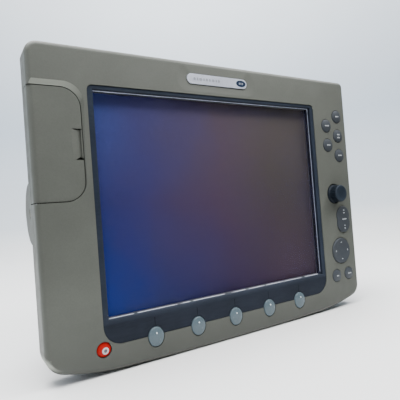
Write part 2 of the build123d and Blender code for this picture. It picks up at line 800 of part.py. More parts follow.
with BuildPart() as keypad_mat:
    slab(
        keypad_left, keypad_right, keypad_bottom, keypad_top, mat_front,
        keypad_board_front, corner=3,
    )
    disc(hard_keys.values(), pad_r, mat_front - pad_height, mat_front)
    disc(small_keys.values(), pad_r, mat_front - pad_height, mat_front)
    disc(
        [trackpad_at], carrier_r + 0.6, mat_front - 1, keypad_board_front,
        mode=Mode.SUBTRACT,
    )
    disc([knob_at], bush_hole_r + 1, mat_front - 1, keypad_board_front, mode=Mode.SUBTRACT)
    disc(
        keypad_posts, board_hole_r, mat_front - 1, keypad_board_front,
        mode=Mode.SUBTRACT,
    )
    slab(
        rocker_lug_left - 0.5, rocker_hub_right + 1, rocker_at[1] - 4, rocker_at[1] + 4,
        mat_front - 1, keypad_board_front, mode=Mode.SUBTRACT,
    )
keypad_mat.part.label = "keypad_mat"
export_step(keypad_mat.part, "parts/keypad_mat.step")

keypad_board_back = keypad_board_front + board_thickness
with BuildPart() as keypad_board:
    slab(
        keypad_left, keypad_right, keypad_bottom, keypad_top, keypad_board_front,
        keypad_board_back, corner=3,
    )
    for hole_spots, hole_r in [
        ([trackpad_at], carrier_hole_r - 0.2), ([knob_at], bush_r + 0.1),
        (keypad_posts, board_hole_r),
    ]:
        disc(hole_spots, hole_r, mat_front, keypad_board_back + 1, mode=Mode.SUBTRACT)
keypad_board.part.label = "keypad_board"
export_step(keypad_board.part, "parts/keypad_board.step")


def soft_strip(near, far):
    """The strip under the soft keys and the power key, clear of the chassis post."""
    slab(-100, 99, -125.5, -106, near, far, corner=2)
    slab(-138, 0, -122.4, -106, near, far, corner=2)
    disc(
        [chassis_post_spots[2]], chassis_post_r + 0.6, near - 1, far + 1,
        mode=Mode.SUBTRACT,
    )
    disc(soft_posts, board_hole_r, near - 1, far + 1, mode=Mode.SUBTRACT)


with BuildPart() as soft_key_mat:
    soft_strip(soft_mat_front, soft_board_front)
    disc(soft_key_spots, pad_r, soft_mat_front - pad_height, soft_mat_front)
    disc([power_key_at], 4.0, soft_mat_front - pad_height, soft_mat_front)
soft_key_mat.part.label = "soft_key_mat"
export_step(soft_key_mat.part, "parts/soft_key_mat.step")

with BuildPart() as soft_key_board:
    soft_strip(soft_board_front, soft_board_front + board_thickness)
soft_key_board.part.label = "soft_key_board"
export_step(soft_key_board.part, "parts/soft_key_board.step")

# ---------------------------------------------------------------- rotary knob

with BuildPart() as encoder_body:
    slab(
        knob_at[0] - encoder_half, knob_at[0] + encoder_half, knob_at[1] - encoder_half,
        knob_at[1] + encoder_half, keypad_board_back, keypad_board_back + encoder_height,
    )
    disc([knob_at], bush_r, knob_boss_depth + 0.2, keypad_board_back + 1)
    disc(
        [knob_at], shaft_r + shaft_clearance, knob_boss_depth - 0.2,
        keypad_board_back + 5.6, mode=Mode.SUBTRACT,
    )
encoder_body.part.label = "encoder_body"
export_step(encoder_body.part, "parts/encoder_body.step")

with BuildPart() as encoder_shaft:
    disc([knob_at], shaft_r, 3 - knob_proud, keypad_board_back + 5.2)
encoder_shaft.part.label = "encoder_shaft"
export_step(encoder_shaft.part, "parts/encoder_shaft.step")

knob_skirt_depth = knob_dish_depth - 0.6
with BuildPart() as rotary_knob:
    with BuildSketch(level(knob_at[1])):
        with BuildLine():
            Polyline(
                (knob_at[0], -knob_proud), (knob_at[0] + knob_r, -knob_proud),
                (knob_at[0] + knob_base_r, knob_skirt_depth),
                (knob_at[0] + shaft_r, knob_skirt_depth),
                (knob_at[0] + shaft_r, 3 - knob_proud), (knob_at[0], 3 - knob_proud),
                close=True,
            )
        make_face()
    knob_axis_point = (screen_x + knob_at[0], front_y, screen_z + knob_at[1])
    revolve(axis=Axis(knob_axis_point, (0, 1, 0)))
    fillet(rotary_knob.edges().sort_by(Axis.Y)[0], knob_round)
rotary_knob.part.label = "rotary_knob"
export_step(rotary_knob.part, "parts/rotary_knob.step")

with BuildPart() as knob_seal:
    disc([knob_at], bush_hole_r - 0.05, front_wall, front_wall + 1.8)
    disc([knob_at], shaft_r + 0.06, front_wall - 1, front_wall + 3, mode=Mode.SUBTRACT)
knob_seal.part.label = "knob_seal"
export_step(knob_seal.part, "parts/knob_seal.step")

# ---------------------------------------------------------------- range rocker

rocker_x, rocker_z = rocker_at
with BuildPart() as range_rocker:
    outline_slab(rocker_outline.sketch, -key_proud, 2.4)
    fillet(range_rocker.faces().sort_by(Axis.Y)[0].edges(), cap_round)
    slab(
        rocker_hub_left, rocker_hub_right, rocker_z - 2.4, rocker_z + 2.4, 2.0,
        rocker_pivot_depth + 1.4,
    )
    slab(
        rocker_x - rocker_foot_half_x, rocker_x + rocker_foot_half_x,
        rocker_z - rocker_foot_half_z, rocker_z + rocker_foot_half_z, 2.0, rocker_foot,
    )
    rod_x(
        rocker_z, rocker_pivot_depth, rocker_pin_left - 1, rocker_pin_right + 1,
        pivot_r + pivot_clearance, mode=Mode.SUBTRACT,
    )
range_rocker.part.label = "range_rocker"
export_step(range_rocker.part, "parts/range_rocker.step")

with BuildPart() as rocker_pin:
    rod_x(rocker_z, rocker_pivot_depth, rocker_pin_left, rocker_pin_right, pivot_r)
rocker_pin.part.label = "rocker_pin"
export_step(rocker_pin.part, "parts/rocker_pin.step")

# ---------------------------------------------------------------- trackpad

pad_x, pad_z = trackpad_at
pad_axis_point = (screen_x + pad_x, front_y, screen_z + pad_z)
with BuildPart() as trackpad:
    with BuildSketch(level(pad_z)):
        with BuildLine():
            dish = ThreePointArc(
                (pad_x, 0), (pad_x + pad_lip_r * 0.55, -pad_lip_proud / 4),
                (pad_x + pad_lip_r, -pad_lip_proud),
            )
            rim_curve = ThreePointArc(
                dish @ 1, (pad_x + trackpad_r - 0.5, 0.2 - pad_lip_proud),
                (pad_x + trackpad_r, 1 - pad_lip_proud),
            )
            Polyline(
                rim_curve @ 1, (pad_x + trackpad_r, pad_back),
                (pad_x + pad_stem_r, pad_back), (pad_x + pad_stem_r, pad_stem_end),
                (pad_x, pad_stem_end), dish @ 0,
            )
        make_face()
    revolve(axis=Axis(pad_axis_point, (0, 1, 0)))
    rod_x(
        pad_z, trackpad_pivot_depth, pad_x - gimbal_r + 0.7, pad_x + gimbal_r - 0.7,
        pivot_r,
    )
trackpad.part.label = "trackpad"
export_step(trackpad.part, "parts/trackpad.step")

gimbal_front = trackpad_pivot_depth - gimbal_height / 2
gimbal_back = trackpad_pivot_depth + gimbal_height / 2
with BuildPart() as trackpad_gimbal:
    disc([trackpad_at], gimbal_r, gimbal_front, gimbal_back)
    disc([trackpad_at], gimbal_hole_r, gimbal_front, gimbal_back, mode=Mode.SUBTRACT)
    for pin_bottom in (-gimbal_pin_end, gimbal_pin_start):
        pin_top = pin_bottom + gimbal_pin_end - gimbal_pin_start
        rod_z(pad_x, trackpad_pivot_depth, pad_z + pin_bottom, pad_z + pin_top, pivot_r)
    rod_x(
        pad_z, trackpad_pivot_depth, pad_x - gimbal_r - 1, pad_x + gimbal_r + 1,
        pivot_r + pivot_clearance, mode=Mode.SUBTRACT,
    )
trackpad_gimbal.part.label = "trackpad_gimbal"
export_step(trackpad_gimbal.part, "parts/trackpad_gimbal.step")

with BuildPart() as trackpad_carrier:
    disc([trackpad_at], carrier_r, carrier_front, keypad_board_front)
    disc(
        [trackpad_at], carrier_hole_r, carrier_front, keypad_board_front,
        mode=Mode.SUBTRACT,
    )
    rod_z(
        pad_x, trackpad_pivot_depth, pad_z - gimbal_pin_end - 0.3,
        pad_z + gimbal_pin_end + 0.3, pivot_r + pivot_clearance, mode=Mode.SUBTRACT,
    )
trackpad_carrier.part.label = "trackpad_carrier"
export_step(trackpad_carrier.part, "parts/trackpad_carrier.step")

# ---------------------------------------------------------------- card door and reader

with BuildSketch() as door_edge:
    add(door_outline.sketch)
    offset(amount=-door_gap, mode=Mode.REPLACE)

door_inner_face = door_set_back + door_thickness
with BuildPart() as card_door:
    with BuildSketch(level(door_bottom)) as door_section:
        with BuildLine():
            Polyline(
                (door_right, door_set_back), (bezel_left, door_set_back),
                (bezel_left, door_leg_end), (bezel_left + door_thickness, door_leg_end),
                (bezel_left + door_thickness, door_inner_face),
                (door_right, door_inner_face), close=True,
            )
        make_face()
        outer_corner = door_section.vertices().sort_by(Axis.X)[0:2].sort_by(Axis.Y)[0]
        fillet(outer_corner, door_edge_round)
    extrude(amount=door_top - door_bottom)
    with BuildSketch(front(-2)) as door_cut:
        add(door_edge.sketch)
    extrude(door_cut.sketch, amount=-20, mode=Mode.INTERSECT)
    for knuckle_start, knuckle_end in hinge_knuckles:
        rod_z(
            hinge_x, hinge_depth, min(knuckle_start, knuckle_end),
            max(knuckle_start, knuckle_end), knuckle_r,
        )
    rod_z(
        hinge_x, hinge_depth, door_bottom - 1, door_top + 1,
        hinge_pin_r + hinge_clearance, mode=Mode.SUBTRACT,
    )
    slab(
        latch_left, latch_right, latch_bottom, latch_top, door_inner_face - 1,
        door_inner_face + latch_length,
    )
    with BuildSketch(level(catch_bottom)) as catch_section:
        with BuildLine():
            Polyline(
                (catch_left, door_set_back - 1), (catch_left, door_set_back),
                (door_right - catch_lip, door_set_back + catch_depth),
                (door_right - catch_lip, door_set_back - 1), close=True,
            )
        make_face()
    extrude(catch_section.sketch, amount=catch_top - catch_bottom, mode=Mode.SUBTRACT)

    # a slit above the catch and a notch below it let it spring
    slab(
        catch_slit_left, door_right, catch_top - catch_slit_width, catch_top,
        door_set_back - 1, door_inner_face + 1, mode=Mode.SUBTRACT,
    )
    with BuildSketch(front(door_set_back - 1)) as catch_notch:
        with BuildLine():
            Polyline(
                (catch_slit_left, catch_bottom), (door_right, catch_bottom),
                (door_right, catch_bottom + catch_slit_width),
                (catch_notch_peak, catch_bottom + catch_notch_height), close=True,
            )
        make_face()
    extrude(catch_notch.sketch, amount=-door_thickness - 2, mode=Mode.SUBTRACT)
card_door.part.label = "card_door"
export_step(card_door.part, "parts/card_door.step")

with BuildPart() as door_hinge_pins:
    for pin_start, pin_end in hinge_pins:
        rod_z(hinge_x, hinge_depth, pin_start, pin_end, hinge_pin_r)
door_hinge_pins.part.label = "door_hinge_pins"
export_step(door_hinge_pins.part, "parts/door_hinge_pins.step")

with BuildPart() as door_seal:
    slab(
        bay_x - ring_half_x, bay_x + ring_half_x, bay_z - ring_half_z, bay_z + ring_half_z,
        door_inner_face + 0.15, door_seat + seal_ring_depth, corner=ring_half_x - 0.1,
    )
    slab(
        bay_x - inner_half_x, bay_x + inner_half_x, bay_z - inner_half_z,
        bay_z + inner_half_z, 0, door_seat + 3, corner=inner_half_x - 0.1,
        mode=Mode.SUBTRACT,
    )
door_seal.part.label = "door_seal"
export_step(door_seal.part, "parts/door_seal.step")

with BuildPart() as card_reader:
    slab(
        reader_left, reader_right, reader_bottom, reader_top, bay_floor + 2,
        bay_floor + slot_depth + reader_wall,
    )
    slab(
        slot_x - slot_width / 2, slot_x + slot_width / 2, slot_z - slot_height / 2,
        slot_z + slot_height / 2, bay_floor, bay_floor + slot_depth, mode=Mode.SUBTRACT,
    )
card_reader.part.label = "card_reader"
export_step(card_reader.part, "parts/card_reader.step")

with BuildPart() as eject_button:
    disc([eject_at], eject_r, eject_front, eject_end)
    fillet(eject_button.edges().sort_by(Axis.Y)[0], 0.8)
    disc([eject_at], eject_collar_r, bay_floor + 2.3, bay_floor + 3.5)
eject_button.part.label = "eject_button"
export_step(eject_button.part, "parts/eject_button.step")

# ---------------------------------------------------------------- chassis and boards

main_posts = [(x, z) for x in (-85, 15, 105) for z in (-60, 80)]
inverter_posts = [(-120, -97), (-20, -97)]
lcd_pads = [(x, z) for x in (-120, 120) for z in (-85, 85)]

with BuildPart() as chassis:
    slab(
        -chassis_half_x, chassis_half_x, chassis_bottom, chassis_top, chassis_front,
        chassis_back, corner=6,
    )
    slab(-60, 60, -50, 60, chassis_front - 1, chassis_back + 1, corner=8, mode=Mode.SUBTRACT)
    for lip_left in (-chassis_half_x, chassis_half_x - chassis_thickness):
        slab(
            lip_left, lip_left + chassis_thickness, chassis_lip_bottom, chassis_lip_top,
            chassis_front, chassis_back + chassis_lip,
        )
    disc(lcd_pads, 4, lcd_back, chassis_front)
    disc(
        chassis_post_spots, chassis_screw_r + 0.35, chassis_front - 1, chassis_back + 1,
        mode=Mode.SUBTRACT,
    )
    for standoffs, standoff_end in [
        (main_posts, main_board_front), (inverter_posts, inverter_board_front),
    ]:
        disc(standoffs, board_standoff_r, chassis_back - 1, standoff_end)
        disc(
            standoffs, board_screw_r, chassis_back, standoff_end + 1, mode=Mode.SUBTRACT
        )
chassis.part.label = "chassis"
export_step(chassis.part, "parts/chassis.step")

with BuildPart() as main_board:
    slab(-95, 115, -70, 90, main_board_front, main_board_back, corner=2)
    disc(
        main_posts, board_hole_r, main_board_front - 1, main_board_back + 1,
        mode=Mode.SUBTRACT,
    )
    slab(-4, 26, 6, 36, main_board_back, main_board_back + processor_height)
    for chip_x in (-70, -50, 50, 70):
        slab(chip_x, chip_x + 14, 10, 32, main_board_back, main_board_back + 1.2)
    slab(-60, -36, -40, -24, main_board_back, main_board_back + 3)
    slab(40, 60, -42, -26, main_board_back, main_board_back + 4)
main_board.part.label = "main_board"
export_step(main_board.part, "parts/main_board.step")

with BuildPart() as heat_sink:
    sink_top = sink_bottom + sink_side
    sink_front = main_board_back + processor_height
    slab(
        sink_left, sink_left + sink_side, sink_bottom, sink_top, sink_front,
        sink_front + sink_base,
    )
    for fin in range(sink_fins):
        fin_left = sink_left + fin * sink_pitch
        slab(
            fin_left, fin_left + sink_fin, sink_bottom, sink_top,
            sink_front + sink_base - 0.2, sink_front + sink_height,
        )
heat_sink.part.label = "heat_sink"
export_step(heat_sink.part, "parts/heat_sink.step")

with BuildPart() as buzzer:
    disc([buzzer_at], 10, main_board_back, main_board_back + 7)
    disc([buzzer_at], 1.5, main_board_back + 4, main_board_back + 8, mode=Mode.SUBTRACT)
buzzer.part.label = "buzzer"
export_step(buzzer.part, "parts/buzzer.step")

with BuildPart() as inverter_board:
    slab(-126, -14, -106, -88, inverter_board_front, inverter_back)
    for coil_x in (-108, -60):
        slab(coil_x, coil_x + 22, -104, -90, inverter_back, inverter_back + 9)
    disc(
        inverter_posts, board_hole_r, inverter_board_front - 1, inverter_back + 1,
        mode=Mode.SUBTRACT,
    )
inverter_board.part.label = "inverter_board"
export_step(inverter_board.part, "parts/inverter_board.step")

with BuildPart() as connector_board:
    slab(
        centre_x - 98, centre_x + 98, socket_z - 16, socket_z + 22,
        connector_board_front, connector_board_back, corner=2,
    )
connector_board.part.label = "connector_board"
export_step(connector_board.part, "parts/connector_board.step")

# ---------------------------------------------------------------- rear case

bracket_housing_r = bracket_insert_r + bracket_housing_wall
with BuildPart() as rear_case:
    outline_slab(flange_outline, flange_front, bezel_depth)
    with BuildSketch(front(flange_front)) as case_section:
        add(case_outline(0))
    extrude(
        case_section.sketch, amount=flange_front - case_back, taper=case_draft
    )
    fillet(rear_case.faces().sort_by(Axis.Y)[-1].edges(), case_back_round)
    for rib in range(cooling_ribs):
        rib_x = centre_x + (rib - (cooling_ribs - 1) / 2) * cooling_pitch
        slab(
            rib_x - cooling_width / 2, rib_x + cooling_width / 2, cooling_bottom,
            cooling_top, case_back - 1, case_back + cooling_height,
        )
    for boss_start, boss_end in [
        (centre_x - boss_span, centre_x - case_half_width + 4),
        (centre_x + case_half_width - 4, centre_x + boss_span),
    ]:
        rod_x(boss_height, boss_depth, boss_start, boss_end, boss_radius)
    with BuildSketch(front(flange_front)) as case_hollow:
        add(case_outline(case_wall))
    extrude(
        case_hollow.sketch, amount=flange_front - case_back + case_wall,
        taper=case_draft, mode=Mode.SUBTRACT,
    )
    for side in (-1, 1):
        face_x = centre_x + side * boss_span
        floor_x = centre_x + side * (case_half_width - 8)
        rod_x(
            boss_height, boss_depth, min(floor_x, face_x - 3 * side),
            max(floor_x, face_x - 3 * side), boss_radius - 3, mode=Mode.SUBTRACT,
        )
        core_x = face_x - side * (insert_length + 2)
        rod_x(
            boss_height, boss_depth, min(core_x, face_x), max(core_x, face_x),
            bracket_housing_r,
        )
        seat_x = face_x - side * insert_length
        rod_x(
            boss_height, boss_depth, min(seat_x, face_x + side), max(seat_x, face_x + side),
            bracket_insert_r, mode=Mode.SUBTRACT,
        )
    disc(stud_spots, stud_boss_r, stud_boss_front, flange_front + 1)
    disc(
        stud_spots, stud_insert_r, stud_boss_front + 1, bezel_depth + 1,
        mode=Mode.SUBTRACT,
    )
    disc(
        case_screw_spots, case_screw_clearance_r, flange_front - 1, bezel_depth + 1,
        mode=Mode.SUBTRACT,
    )
    disc(
        case_screw_spots, case_screw_head_r + 0.1, bezel_depth - case_screw_seat,
        bezel_depth + 1, mode=Mode.SUBTRACT,
    )
    disc(
        socket_spots, socket_seal_r + socket_seal_width, case_back - socket_seal_depth,
        case_back + 5, mode=Mode.SUBTRACT,
    )
    disc(socket_spots, socket_seal_r, case_back - 1, case_back)
    disc(
        socket_spots, socket_stem_r + 0.2, case_back - 5, case_back + 5,
        mode=Mode.SUBTRACT,
    )
    disc([vent_at], vent_stem_r, case_back - 5, case_back + 5, mode=Mode.SUBTRACT)
rear_case.part.label = "rear_case"
export_step(rear_case.part, "parts/rear_case.step")

with BuildPart() as case_seal:
    outline_slab(seal_outer, flange_front - seal_thickness, flange_front)
    outline_slab(seal_inner, flange_front - 3, flange_front + 1, mode=Mode.SUBTRACT)
case_seal.part.label = "case_seal"
export_step(case_seal.part, "parts/case_seal.step")

with BuildPart() as bracket_inserts:
    for side in (-1, 1):
        outer_x = centre_x + side * (boss_span - insert_set_back)
        inner_x = centre_x + side * (boss_span - insert_length)
        rod_x(
            boss_height, boss_depth, min(outer_x, inner_x), max(outer_x, inner_x),
            bracket_insert_r,
        )
    rod_x(
        boss_height, boss_depth, centre_x - 200, centre_x + 200, bracket_thread_r,
        mode=Mode.SUBTRACT,
    )
bracket_inserts.part.label = "bracket_inserts"
export_step(bracket_inserts.part, "parts/bracket_inserts.step")

with BuildPart() as stud_inserts:
    disc(stud_spots, stud_insert_r, stud_boss_front + 1, bezel_depth - 0.2)
    disc(
        stud_spots, stud_thread_r, stud_boss_front, bezel_depth + 1, mode=Mode.SUBTRACT
    )
stud_inserts.part.label = "stud_inserts"
export_step(stud_inserts.part, "parts/stud_inserts.step")

with BuildPart() as case_screws:
    disc(
        case_screw_spots, case_screw_head_r, bezel_depth - case_screw_seat,
        bezel_depth - 0.2,
    )
    disc(
        case_screw_spots, case_screw_r, case_screw_tip + 0.5,
        bezel_depth - case_screw_seat + 0.1,
    )
case_screws.part.label = "case_screws"
export_step(case_screws.part, "parts/case_screws.step")

with BuildPart() as chassis_screws:
    disc(chassis_post_spots, 2.8, chassis_back, chassis_back + 1.8)
    disc(
        chassis_post_spots, chassis_screw_r, chassis_screw_tip + 0.5, chassis_back + 1
    )
chassis_screws.part.label = "chassis_screws"
export_step(chassis_screws.part, "parts/chassis_screws.step")

board_screws_at = [
    (keypad_posts, front_wall + 0.5, keypad_board_back),
    (soft_posts, soft_wall + 0.5, soft_board_front + board_thickness),
    (main_posts, chassis_back + 1, main_board_back),
    (inverter_posts, chassis_back + 0.5, inverter_back),
]
with BuildPart() as board_screws:
    for post_spots, tip, head in board_screws_at:
        disc(post_spots, board_screw_r, tip, head + 0.5)
        disc(post_spots, board_head_r, head, head + board_head_height)
board_screws.part.label = "board_screws"
export_step(board_screws.part, "parts/board_screws.step")

# ---------------------------------------------------------------- sockets and vent


def socket_shells(spots, barrel_r, cavity_r):
    """Round panel sockets: flange, open barrel and a stem that runs in to the board."""
    disc(spots, socket_stem_r, connector_board_back, case_back + 1)
    disc(
        spots, barrel_r + socket_flange_lip, case_back,
        case_back + socket_flange_thickness,
    )
    disc(spots, barrel_r, case_back, socket_end)
    disc(spots, cavity_r, insert_back, socket_end + 1, mode=Mode.SUBTRACT)
    disc(
        spots, cavity_r - insert_step, case_back + socket_floor, insert_back,
        mode=Mode.SUBTRACT,
    )


with BuildPart() as power_socket:
    socket_shells(power_spots, power_barrel_r, power_cavity_r)
power_socket.part.label = "power_socket"
export_step(power_socket.part, "parts/power_socket.step")

with BuildPart() as data_sockets:
    socket_shells(data_spots, data_barrel_r, data_cavity_r)
data_sockets.part.label = "data_sockets"
export_step(data_sockets.part, "parts/data_sockets.step")

with BuildPart() as socket_inserts:
    insert_front = case_back + socket_floor
    disc(power_spots, power_cavity_r - insert_step, insert_front, insert_back)
    disc(data_spots, data_cavity_r - insert_step, insert_front, insert_back)
    for socket_spot, contact_count in zip(socket_spots, contacts):
        with BuildSketch(front(insert_back)) as contact_holes:
            with Locations(socket_spot):
                with PolarLocations(contact_circle_r, contact_count):
                    Circle(contact_r)
        extrude(contact_holes.sketch, amount=contact_depth, mode=Mode.SUBTRACT)
socket_inserts.part.label = "socket_inserts"
export_step(socket_inserts.part, "parts/socket_inserts.step")

with BuildPart() as socket_seals:
    disc(
        socket_spots, socket_seal_r + socket_seal_width, case_back - socket_seal_depth,
        case_back,
    )
    disc(socket_spots, socket_seal_r, case_back - 2, case_back + 1, mode=Mode.SUBTRACT)
socket_seals.part.label = "socket_seals"
export_step(socket_seals.part, "parts/socket_seals.step")

with BuildPart() as socket_nuts:
    with BuildSketch(front(case_back - case_wall - nut_thickness)) as nut_section:
        with Locations(*socket_spots):
            RegularPolygon(nut_r, 6)
            Circle(socket_stem_r, mode=Mode.SUBTRACT)
    extrude(nut_section.sketch, amount=-nut_thickness)
socket_nuts.part.label = "socket_nuts"
export_step(socket_nuts.part, "parts/socket_nuts.step")

with BuildPart() as vent_plug:
    disc([vent_at], vent_head_r, case_back, case_back + vent_head_height)
    disc([vent_at], vent_stem_r, case_back - 4, case_back + 1)
vent_plug.part.label = "vent_plug"
export_step(vent_plug.part, "parts/vent_plug.step")
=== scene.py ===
import json
import math

import bmesh
import bpy
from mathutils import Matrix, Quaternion, Vector
from mathutils.bvhtree import BVHTree


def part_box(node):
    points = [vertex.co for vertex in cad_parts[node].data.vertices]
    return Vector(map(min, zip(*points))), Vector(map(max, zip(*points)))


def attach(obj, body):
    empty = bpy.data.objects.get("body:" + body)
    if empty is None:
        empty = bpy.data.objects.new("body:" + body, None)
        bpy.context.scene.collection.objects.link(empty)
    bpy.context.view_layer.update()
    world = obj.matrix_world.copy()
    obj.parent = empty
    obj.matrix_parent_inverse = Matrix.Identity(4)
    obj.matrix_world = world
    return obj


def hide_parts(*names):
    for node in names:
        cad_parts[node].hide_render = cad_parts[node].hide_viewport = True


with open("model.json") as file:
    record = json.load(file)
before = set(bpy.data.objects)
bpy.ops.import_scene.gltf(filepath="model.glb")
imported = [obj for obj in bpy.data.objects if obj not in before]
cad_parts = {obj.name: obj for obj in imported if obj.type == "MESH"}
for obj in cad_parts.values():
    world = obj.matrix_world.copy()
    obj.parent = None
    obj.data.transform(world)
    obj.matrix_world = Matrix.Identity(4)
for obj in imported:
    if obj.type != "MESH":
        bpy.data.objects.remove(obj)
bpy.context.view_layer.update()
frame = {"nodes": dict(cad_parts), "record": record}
nodes = frame["nodes"]

# Lengths are written in millimetres and multiplied by MM, because Blender works in metres.
MM = 0.001

# Where the colour Mix node keeps its factor, its two colours and its result.
MIX_FACTOR, MIX_FIRST, MIX_SECOND, MIX_RESULT = 0, 6, 7, 2

# The layout is measured from the screen's centre: across, behind the bezel's front, up.
window_low, window_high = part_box("display_window")
bezel_low, bezel_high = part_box("front_bezel")
screen_x = (window_low.x + window_high.x) / 2
screen_z = (window_low.z + window_high.z) / 2
front_y = bezel_low.y


def spot(across, behind, up):
    """A point in the row frame, from its place in the layout."""
    return Vector((screen_x + across * MM, front_y + behind * MM, screen_z + up * MM))


def middle(node):
    """A CAD node's middle, as (across, up) in the layout."""
    low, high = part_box(node)
    centre = (low + high) / 2
    return (centre.x - screen_x) / MM, (centre.z - screen_z) / MM


# ---------------------------------------------------------------- materials


class Surface:
    """A Principled material and the few node patterns that the finishes below share."""

    def __init__(self, name, colour, roughness, **settings):
        self.material = bpy.data.materials.new(name)
        self.material.use_nodes = True
        self.tree = self.material.node_tree
        self.shader = self.tree.nodes["Principled BSDF"]
        self.colour = (*colour, 1.0)
        self.shader.inputs["Base Color"].default_value = self.colour
        self.shader.inputs["Roughness"].default_value = roughness
        self.roughness = roughness
        self.height = None
        self.top_colour = None
        coordinates = self.node("ShaderNodeTexCoord")
        self.place = coordinates.outputs["Object"]
        axes = self.node("ShaderNodeSeparateXYZ")
        self.link(self.place, axes.inputs["Vector"])
        self.along = axes.outputs
        for socket, value in settings.items():
            self.shader.inputs[socket.replace("_", " ")].default_value = value

    def node(self, kind, **settings):
        """A new node of this kind, with these properties."""
        made = self.tree.nodes.new(kind)
        for name, value in settings.items():
            setattr(made, name, value)
        return made

    def link(self, source, target):
        self.tree.links.new(source, target)

    def stretched(self, factors):
        """Object coordinates with each axis scaled, for patterns longer one way."""
        mapping = self.node("ShaderNodeMapping")
        mapping.inputs["Scale"].default_value = factors
        self.link(self.place, mapping.inputs["Vector"])
        return mapping.outputs["Vector"]

    def noise(self, size, detail=3.0, place=None, low=0.35, high=0.65):
        """Noise with features of this size in metres, stretched to run from 0 to 1."""
        texture = self.node("ShaderNodeTexNoise")
        texture.inputs["Scale"].default_value = 1.0 / size
        texture.inputs["Detail"].default_value = detail
        self.link(place or self.place, texture.inputs["Vector"])
        return self.spread(texture.outputs["Fac"], low, high)

    def spread(self, source, low, high, to_low=0.0, to_high=1.0):
        """Maps low to high onto to_low to to_high and holds the ends. Low may be above high."""
        ranged = self.node("ShaderNodeMapRange")
        ranged.inputs["From Min"].default_value = low
        ranged.inputs["From Max"].default_value = high
        ranged.inputs["To Min"].default_value = to_low
        ranged.inputs["To Max"].default_value = to_high
        self.link(source, ranged.inputs["Value"])
        return ranged.outputs["Result"]

    def cells(self, size, randomness=1.0):
        """The distance to the middle of cells of this size in metres."""
        texture = self.node("ShaderNodeTexVoronoi")
        texture.inputs["Scale"].default_value = 1.0 / size
        texture.inputs["Randomness"].default_value = randomness
        self.link(self.place, texture.inputs["Vector"])
        return texture.outputs["Distance"]

    def blend(self, factor, first, second):
        """A colour between two, where either may be a colour or a socket."""
        mix = self.node("ShaderNodeMix", data_type="RGBA")
        self.link(factor, mix.inputs[MIX_FACTOR])
        for socket, value in ((mix.inputs[MIX_FIRST], first), (mix.inputs[MIX_SECOND], second)):
            if isinstance(value, (tuple, list)):
                socket.default_value = (*value[:3], 1.0)
            else:
                self.link(value, socket)
        return mix.outputs[MIX_RESULT]

    def ramp(self, factor, stops):
        """A colour ramp: stops is a list of (place from 0 to 1, colour)."""
        made = self.node("ShaderNodeValToRGB")
        elements = made.color_ramp.elements
        while len(elements) < len(stops):
            elements.new(0.5)
        for element, (position, colour) in zip(elements, stops):
            element.position = position
            element.color = (*colour, 1.0)
        self.link(factor, made.inputs["Fac"])
        return made.outputs["Color"]

    def shade(self, factor, amount):
        """Darkens and lightens the colour so far by up to this share."""
        base = self.top_colour or self.colour
        dark = self.scaled(base, 1 - amount)
        light = self.scaled(base, 1 + amount)
        self.top_colour = self.blend(factor, dark, light)

    def scaled(self, base, share):
        """A colour or a colour socket, times this share."""
        if isinstance(base, tuple):
            return tuple(value * share for value in base[:3])
        mix = self.node("ShaderNodeMix", data_type="RGBA", blend_type="MULTIPLY")
        mix.inputs[MIX_FACTOR].default_value = 1.0
        self.link(base, mix.inputs[MIX_FIRST])
        mix.inputs[MIX_SECOND].default_value = (share, share, share, 1.0)
        return mix.outputs[MIX_RESULT]

    def tint(self, factor, colour):
        """Covers the colour so far with another one where the factor is high."""
        self.top_colour = self.blend(factor, self.top_colour or self.colour, colour)

    def inside(self, low, high, fade):
        """1 inside this box of the row frame, fading to 0 over a distance outside it."""
        factor = None
        for axis, bottom, top in zip("XYZ", low, high):
            for limit, way in ((bottom, -fade), (top, fade)):
                ranged = self.spread(self.along[axis], limit + way, limit)
                factor = ranged if factor is None else self.times(factor, ranged)
        return factor

    def leaning_down(self):
        """1 on gentle slopes that lean towards the floor, well clear of the bezel's lower edge: the
        mask for painted light on the front.
        """
        coordinates = self.node("ShaderNodeTexCoord")
        axes = self.node("ShaderNodeSeparateXYZ")
        self.link(coordinates.outputs["Normal"], axes.inputs["Vector"])
        leaning = self.spread(axes.outputs["Z"], -0.06, -0.2)
        not_steep = self.spread(axes.outputs["Z"], -0.6, -0.45)
        clear = self.spread(self.along["Z"], bezel_low.z + 12 * MM, bezel_low.z + 18 * MM)
        return self.times(self.times(leaning, not_steep), clear)

    def times(self, first, second):
        """Two factors multiplied."""
        product = self.node("ShaderNodeMath", operation="MULTIPLY")
        self.link(first, product.inputs[0])
        self.link(second, product.inputs[1])
        return product.outputs[0]

    def vary_roughness(self, factor, amount):
        """Lets the roughness wander by this amount either way."""
        low, high = self.roughness - amount, self.roughness + amount
        self.link(self.spread(factor, 0, 1, low, high), self.shader.inputs["Roughness"])

    def bump(self, factor, height):
        """Adds relief of this height in metres on top of the relief so far."""
        bump = self.node("ShaderNodeBump")
        bump.inputs["Distance"].default_value = height
        self.link(factor, bump.inputs["Height"])
        if self.height:
            self.link(self.height, bump.inputs["Normal"])
        self.height = bump.outputs["Normal"]

    def done(self):
        """Links the finished colour and relief, and hands back the material."""
        if self.top_colour:
            self.link(self.top_colour, self.shader.inputs["Base Color"])
        if self.height:
            self.link(self.height, self.shader.inputs["Normal"])
        return self.material


